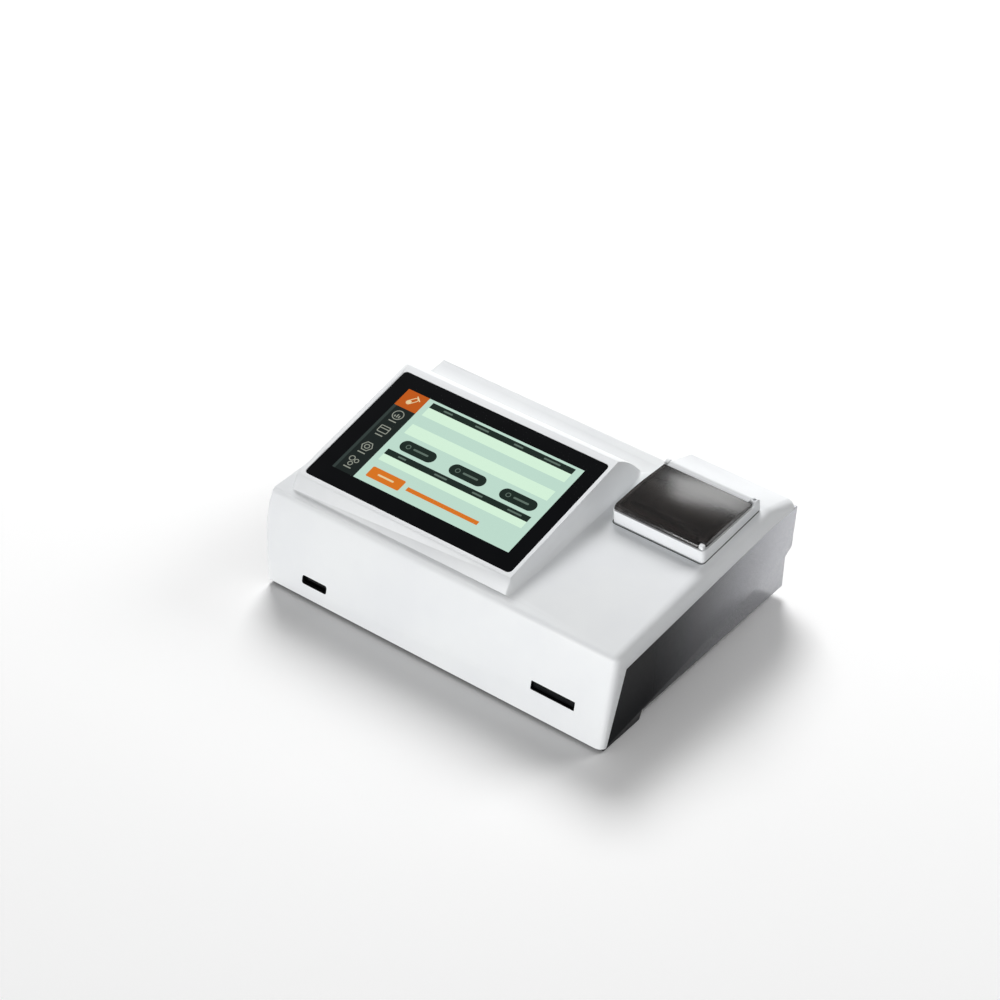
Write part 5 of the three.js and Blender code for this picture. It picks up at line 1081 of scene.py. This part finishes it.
class READER_OT_printer_works(ReaderOperator, bpy.types.Operator):
    """Makes the paper roll, its loose end, the platen, the gears and the tear bar"""

    bl_idname = "reader.printer_works"
    bl_label = "Printer works"

    def execute(self, context):
        sizes = self.settings(context)
        self.roll(sizes.roll_layer)
        self.loose_end(sizes.paper_thickness)
        self.tear_bar(sizes.tooth_pitch)
        finish_each(
            ("paper_core", "kraft_card", "card_tube"),
            ("platen_shaft", "zinc_plated_steel", "bright_metal"),
            ("platen_rubber", "ground_rubber", "rubber", 0.2 * MM),
            ("platen_gear idler_gear motor_gear", "natural_acetal", "gear_plastic"),
            ("print_motor", "zinc_plated_steel", "bright_metal", 0.25 * MM),
            ("print_head", "black_anodised_aluminium", "black_metal", sizes.small_rounding),
            ("printer_board", "green_circuit_board", "circuit_board", 0.1 * MM),
        )
        with_finish(frame["nodes"]["idler_pin"].data, "zinc_plated_steel")
        return {"FINISHED"}

    def roll(self, layer):
        """The wound paper, with a little air between its layers and about its core."""
        air = 0.07 * MM
        low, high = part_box("paper_roll")
        core_low, core_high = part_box("paper_core")
        outer = (high.z - low.z) / 2 - layer / 2 - 0.02 * MM
        inner = (core_high.z - core_low.z) / 2 + layer / 2 + 0.05 * MM
        values = {
            "Turns": (outer - inner) / (layer + air),
            "Inner Radius": inner,
            "Outer Radius": outer,
            "Width": high.x - low.x,
            "Thickness": layer,
        }
        mesh = grown(wound_tree, bpy.data.meshes.new("seed"), "thermal_paper", values)
        middle = spot("paper_roll", 0.5, 0.5, 0.5)
        mesh.transform(Matrix.Translation(middle) @ turned(90, "Y"))
        work = bmesh.new()
        work.from_mesh(mesh)
        mesh = mesh_from(work)
        show("wound_paper_roll", mesh, "paper", ["thermal_paper"], ("paper_roll",))

    def loose_end(self, thickness):
        """The paper from the roll, up behind the platen and over it to the tear bar."""
        low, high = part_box("paper_roll")
        # In the printer's frame, in mm: up from the roll, round the platen and forward
        route = [(21.05, -10.5), (20.6, -8.0), (19.2, -6.2), (17.2, -5.1), (15.6, -4.0)]
        route += [(14.9, -2.4), (14.85, 0.0), (14.85, 2.5)]
        axis, reach = (10.2, 5.0), 4.65
        for i in range(9):
            turn = math.radians(12 * i)
            route.append((axis[0] + reach * math.cos(turn), axis[1] + reach * math.sin(turn)))
        route += [(7.0, 9.75), (5.0, 9.8), (3.0, 9.65)]
        points = smoothed(route, 4)
        half = thickness / 2 / MM
        upper, lower = [], []
        for i, (v, w) in enumerate(points):
            before, after = points[max(i - 1, 0)], points[min(i + 1, len(points) - 1)]
            run, rise = after[0] - before[0], after[1] - before[1]
            share = half / math.hypot(run, rise)
            upper.append((v - rise * share, w + run * share))
            lower.append((v + rise * share, w - run * share))
        outline = upper + list(reversed(lower))
        work = bmesh.new()
        sides = [
            [work.verts.new(PRINTER @ Vector((x, v * MM, w * MM))) for v, w in outline]
            for x in (low.x, high.x)
        ]
        left, right = sides
        count = len(outline)
        for i in range(count):
            j = (i + 1) % count
            work.faces.new((left[i], left[j], right[j], right[i]))
        for side in sides:
            for i in range(count // 2 - 1):
                j = count - 1 - i
                work.faces.new((side[i], side[i + 1], side[j - 1], side[j]))
        show("paper_loose_end", mesh_from(work), "reader", ["thermal_paper"])

    def tear_bar(self, pitch):
        """A thin steel bar with a row of fine teeth along its upper edge."""
        low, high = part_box("tear_bar")
        section = [(2.3, 5.0), (3.3, 5.0), (3.3, 8.5), (2.3, 8.5)]
        ends = (low.x / MM, high.x / MM)
        bar = drawn(stack, [[PRINTER @ mm(x, v, w) for v, w in section] for x in ends])
        half = pitch / MM * 0.46
        outline = ((-half, 0.0), (half, 0.0), (0.08, 0.85), (-0.08, 0.85))
        tilt = PRINTER.to_3x3()
        tooth = drawn(stack, [[tilt @ mm(x, v, w) for x, w in outline] for v in (0.0, 0.96)])
        count = int((high.x - low.x) / pitch)
        start = PRINTER @ mm(0, 2.32, 8.48)
        start.x = (low.x + high.x - pitch * (count - 1)) / 2
        teeth = row(tooth, count, start, pitch, "zinc_plated_steel")
        meshes = [with_finish(bar, "zinc_plated_steel"), teeth]
        show_joined("tear_bar_with_teeth", meshes, "reader", ("tear_bar",))


def smoothed(points, steps):
    """A smooth line through points, with that many steps between each two."""
    result = []
    last = len(points) - 1
    for i in range(last):
        four = (points[max(i - 1, 0)], points[i], points[i + 1], points[min(i + 2, last)])
        for k in range(steps):
            t = k / steps
            point = []
            for a, b, c, d in zip(*four):
                square = (2 * a - 5 * b + 4 * c - d) * t * t
                cube = (3 * b - a - 3 * c + d) * t * t * t
                point.append(0.5 * (2 * b + (c - a) * t + square + cube))
            result.append(tuple(point))
    result.append(points[-1])
    return result


class READER_OT_card_drive(ReaderOperator, bpy.types.Operator):
    """Makes the card tray, its guide and its drive"""

    bl_idname = "reader.card_drive"
    bl_label = "Card tray and drive"

    def execute(self, context):
        small = self.settings(context).small_rounding
        finish_each(
            ("card_tray", "dark_acetal", "black_plastic", small),
            ("tray_guide", "black_moulded_nylon", "black_plastic", small),
            ("tray_pinion", "natural_acetal", "gear_plastic"),
            ("tray_motor", "zinc_plated_steel", "bright_metal", 0.3 * MM),
            ("tray_sensor", "black_moulded_nylon", "black_plastic", 0.2 * MM),
        )
        return {"FINISHED"}


class READER_OT_chip_reader(ReaderOperator, bpy.types.Operator):
    """Makes the chip socket with its contacts, and its board"""

    bl_idname = "reader.chip_reader"
    bl_label = "Chip socket"

    def execute(self, context):
        small = self.settings(context).small_rounding
        finish_each(
            ("chip_socket", "black_moulded_nylon", "black_plastic", small),
            ("chip_board", "blue_circuit_board", "circuit_board", 0.1 * MM),
        )
        # Eight sprung contacts lie on the mouth's floor, 2.2 mm apart
        start = spot("chip_socket", 0.5, 0, 0) + mm(-7.7, 7.2, 1.55)
        contacts = row(block_mesh(1.0, 9.0, 0.5, chamfer=0.15), 8, start, 2.2 * MM, "gold_plate")
        show("chip_contacts", contacts, "reader", ["gold_plate"])
        return {"FINISHED"}


def moved(mesh, place):
    """The mesh, moved from the origin to a place."""
    mesh.transform(Matrix.Translation(place))
    return mesh


class READER_OT_rear_sockets(ReaderOperator, bpy.types.Operator):
    """Makes the rear panel, the sockets with their contacts, and the power switch's marks"""

    bl_idname = "reader.rear_sockets"
    bl_label = "Rear panel and sockets"

    def execute(self, context):
        small = self.settings(context).small_rounding
        finish_each(
            ("rear_panel", "powder_coated_steel", "black_metal", 0.25 * MM),
            ("rocker_switch_body", "black_moulded_nylon", "black_plastic", small),
            ("power_rocker", "black_moulded_nylon", "black_plastic", 0.4 * MM, 3),
            ("ethernet_socket usb_socket serial_socket", "nickel_plate", "bright_metal", 0.2 * MM),
        )
        both = ["black_moulded_nylon", "nickel_plate"]
        finished("power_inlet", both, small, 2, "black_plastic", paint=self.inlet_paint)
        self.rocker_marks()
        self.ethernet_inside()
        self.usb_tongues()
        self.serial_face()
        self.panel_screws()
        return {"FINISHED"}

    def panel_screws(self):
        """The rear panel's four screws."""
        low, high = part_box("rear_panel")
        left, right = low.x + 7.5 * MM, high.x - 7.4 * MM
        upper, lower = high.z - 7.4 * MM, low.z + 8.5 * MM
        corners = ((left, upper), (right, upper), (left, lower), (left + 71.2 * MM, lower))
        places = [(x, high.y + 1.3 * MM, z) for x, z in corners]
        screw = screw_mesh(head=2.2, head_height=1.3, shank=1.0, length=1.2, turns=1)
        show_screws("panel_screws", screw, places, -90, "reader")

    @staticmethod
    def inlet_paint(face):
        """Metal on the inlet's three pins, and nylon on the rest."""
        # From the middle of the inlet's face, in mm. The pins stand within its mouth.
        place = (face.calc_center_median() - spot("power_inlet", 0.5, 1, 0.5)) / MM
        inside = abs(place.x) < 8.2 and abs(place.z) < 4.6 and -15.2 < place.y < -2.2
        return 1 if inside and abs(face.normal.y) < 0.99 else 0

    def rocker_marks(self):
        """The plain marks for on and off, printed on the rocker's two slopes."""
        polygons = frame["nodes"]["power_rocker"].data.polygons
        middle = spot("power_rocker", 0.5, 0.5, 0.5)
        work = bmesh.new()
        for sign in (1, -1):
            slopes = [
                polygon
                for polygon in polygons
                if polygon.normal.y > 0.8 and (polygon.center.z - middle.z) * sign > 2.0 * MM
            ]
            widest = max(slopes, key=lambda polygon: polygon.area)
            normal = widest.normal.normalized()
            upward = normal.cross(Vector((-1, 0, 0))).normalized()
            if upward.z < 0:
                upward.negate()
            side = upward.cross(normal).normalized()
            origin = Vector((middle.x, 0, middle.z + sign * 4.6 * MM))
            # Onto the slope's plane
            origin.y = (widest.center - origin).dot(normal) / normal.y
            facing = Matrix((side, upward, normal)).transposed().to_4x4()
            place = Matrix.Translation(origin) @ facing
            if sign > 0:
                prism(work, rectangle(-0.35, 0.35, -1.9, 1.9), -0.05, 0.05, place)
            else:
                ring = (regular(0, 0, 1.9, 32), regular(0, 0, 1.25, 32))
                loop(work, *ring, -0.05, 0.05, place)
        show("rocker_marks", mesh_from(work), "switch_rocker", ["white_print"])

    def ethernet_inside(self):
        """Eight sprung contacts that slope into the mouth, on their black insert."""
        wire = block_mesh(0.45, 8.0, 0.35, chamfer=0.1)
        wire.transform(turned(14, "X"))
        start = spot("ethernet_socket", 0.5, 1, 1) - mm(3.57, 7.0, 4.1)
        contacts = row(wire, 8, start, 1.02 * MM, "gold_plate")
        insert = with_finish(block_mesh(11.6, 0.6, 8.6), "black_moulded_nylon")
        moved(insert, spot("ethernet_socket", 0.5, 1, 0) + mm(0, -12.6, 6.5))
        show_joined("ethernet_contacts", [contacts, insert], "reader")

    def usb_tongues(self):
        """A tongue in each mouth, with four contacts under it."""
        middle = spot("usb_socket", 0.5, 1, 0.5)
        meshes = []
        for rise in (-3.8, 3.8):
            tongue = with_finish(block_mesh(10.8, 11.0, 1.7, chamfer=0.3), "white_print")
            meshes.append(moved(tongue, middle + mm(0, -8.3, rise + 1.2)))
            strip = block_mesh(1.1, 8.0, 0.24, chamfer=0.05)
            start = middle + mm(-3.5, -7.6, rise + 0.3)
            meshes.append(row(strip, 4, start, 2.33 * MM, "gold_plate"))
            back = with_finish(block_mesh(12.4, 0.6, 5.0), "black_moulded_nylon")
            meshes.append(moved(back, middle + mm(0, -13.6, rise)))
        show_joined("usb_tongues", meshes, "reader")

    def serial_face(self):
        """The black face of the nine-way socket, with its two rows of round contacts."""
        centre = spot("serial_socket", 0.5, 1, 0.5)
        facing = turned(-90, "X")
        outline = [(-7.0, -3.3), (7.0, -3.3), (7.7, 3.3), (-7.7, 3.3)]
        face = drawn(prism, outline, -0.3, 0.25, Matrix.Translation(centre) @ facing)
        meshes = [with_finish(face, "black_moulded_nylon")]
        ring = (regular(0, 0, 0.85, 16), regular(0, 0, 0.5, 16))
        for count, rise in ((5, 1.42), (4, -1.42)):
            contact = drawn(loop, *ring, -0.1, 0.4, facing)
            start = centre + mm(-(count - 1) / 2 * 2.76, 0, rise)
            meshes.append(row(contact, count, start, 2.76 * MM, "gold_plate"))
        show_joined("serial_face", meshes, "reader")


class READER_OT_fixings(ReaderOperator, bpy.types.Operator):
    """Makes the feet and the case screws"""

    bl_idname = "reader.fixings"
    bl_label = "Feet and screws"

    def execute(self, context):
        self.settings(context)
        finish_each(
            ("front_pad_left front_pad_right", "moulded_rubber", "rubber", 0.3 * MM),
            ("rear_foot_left rear_foot_right", "moulded_rubber", "rubber", 0.5 * MM),
        )
        nodes = ["case_screw_%d" % (i + 1) for i in range(4)]
        places = [spot(node, 0.5, 0.5, 0) for node in nodes]
        screw = screw_mesh(head=2.8, head_height=2.2, shank=1.5, length=14.0, turns=12)
        show_screws("case_screws", screw, places, 180, "reader", nodes)
        return {"FINISHED"}


class READER_OT_electronics(ReaderOperator, bpy.types.Operator):
    """Finishes the boards, the power supply and the parts behind the display"""

    bl_idname = "reader.electronics"
    bl_label = "Boards"

    def execute(self, context):
        self.settings(context)
        for node, finish in (
            ("mainboard", "green_circuit_board"),
            ("power_supply", "blue_circuit_board"),
        ):
            finishes = [finish, "chip_epoxy", "mill_finish_aluminium"]
            finished(node, finishes, slot="circuit_board", paint=self.parts_paint(node))
        finish_each(
            ("display_module", "black_anodised_aluminium", "black_plastic", 0.3 * MM),
            ("display_bracket", "zinc_plated_steel", "bright_metal", 0.2 * MM),
            ("display_board", "green_circuit_board", "circuit_board"),
            ("display_ribbon", "flat_ribbon_cable", "ribbon_film"),
        )
        return {"FINISHED"}

    def parts_paint(self, node):
        """Paints what stands over a board: epoxy at its left, aluminium at its right."""
        corner = spot(node, 0.62, 0, 0) + mm(0, 0, 1.65)

        def paint(face):
            place = face.calc_center_median()
            if place.z < corner.z:
                return 0
            return 2 if place.x > corner.x else 1

        return paint


class READER_OT_optics(ReaderOperator, bpy.types.Operator):
    """Finishes the optical block, its glass and its two boards"""

    bl_idname = "reader.optics"
    bl_label = "Optics"

    def execute(self, context):
        self.settings(context)
        finish_each(
            ("optic_block", "black_anodised_aluminium", "black_metal", 0.3 * MM),
            ("optic_lens", "polished_lens_glass", "clear_glass"),
            ("dichroic_mirror", "coated_mirror_glass", "filter_glass", 0.05 * MM),
            ("optic_filter", "orange_filter_glass", "filter_glass", 0.1 * MM),
            ("lamp_board detector_board", "green_circuit_board", "circuit_board"),
        )
        return {"FINISHED"}


OPERATORS = (
    READER_OT_stage,
    READER_OT_shell,
    READER_OT_display,
    READER_OT_printer_shell,
    READER_OT_printer_works,
    READER_OT_card_drive,
    READER_OT_chip_reader,
    READER_OT_rear_sockets,
    READER_OT_fixings,
    READER_OT_electronics,
    READER_OT_optics,
)


class READER_PT_panel(bpy.types.Panel):
    """Lists the reader's sizes, its colours and the operators that make its pieces"""

    bl_idname = "READER_PT_panel"
    bl_label = "Rapid test reader"
    bl_space_type = "VIEW_3D"
    bl_region_type = "UI"
    bl_category = "Reader"

    def draw(self, context):
        layout = self.layout
        for group in (context.scene.reader_sizes, context.scene.reader_colours):
            box = layout.box()
            for name in group.bl_rna.properties.keys():
                if name not in ("name", "rna_type"):
                    box.prop(group, name)
        for operator in OPERATORS:
            layout.operator(operator.bl_idname)


def register():
    for kind in (ReaderSizes, ReaderColours, *OPERATORS, READER_PT_panel):
        bpy.utils.register_class(kind)
    bpy.types.Scene.reader_sizes = bpy.props.PointerProperty(type=ReaderSizes)
    bpy.types.Scene.reader_colours = bpy.props.PointerProperty(type=ReaderColours)


def unregister():
    del bpy.types.Scene.reader_colours
    del bpy.types.Scene.reader_sizes
    for kind in (READER_PT_panel, *reversed(OPERATORS), ReaderColours, ReaderSizes):
        bpy.utils.unregister_class(kind)


def main():
    register()
    for operator in OPERATORS:
        group, name = operator.bl_idname.split(".")
        getattr(getattr(bpy.ops, group), name)()


if __name__ == "__main__":
    main()
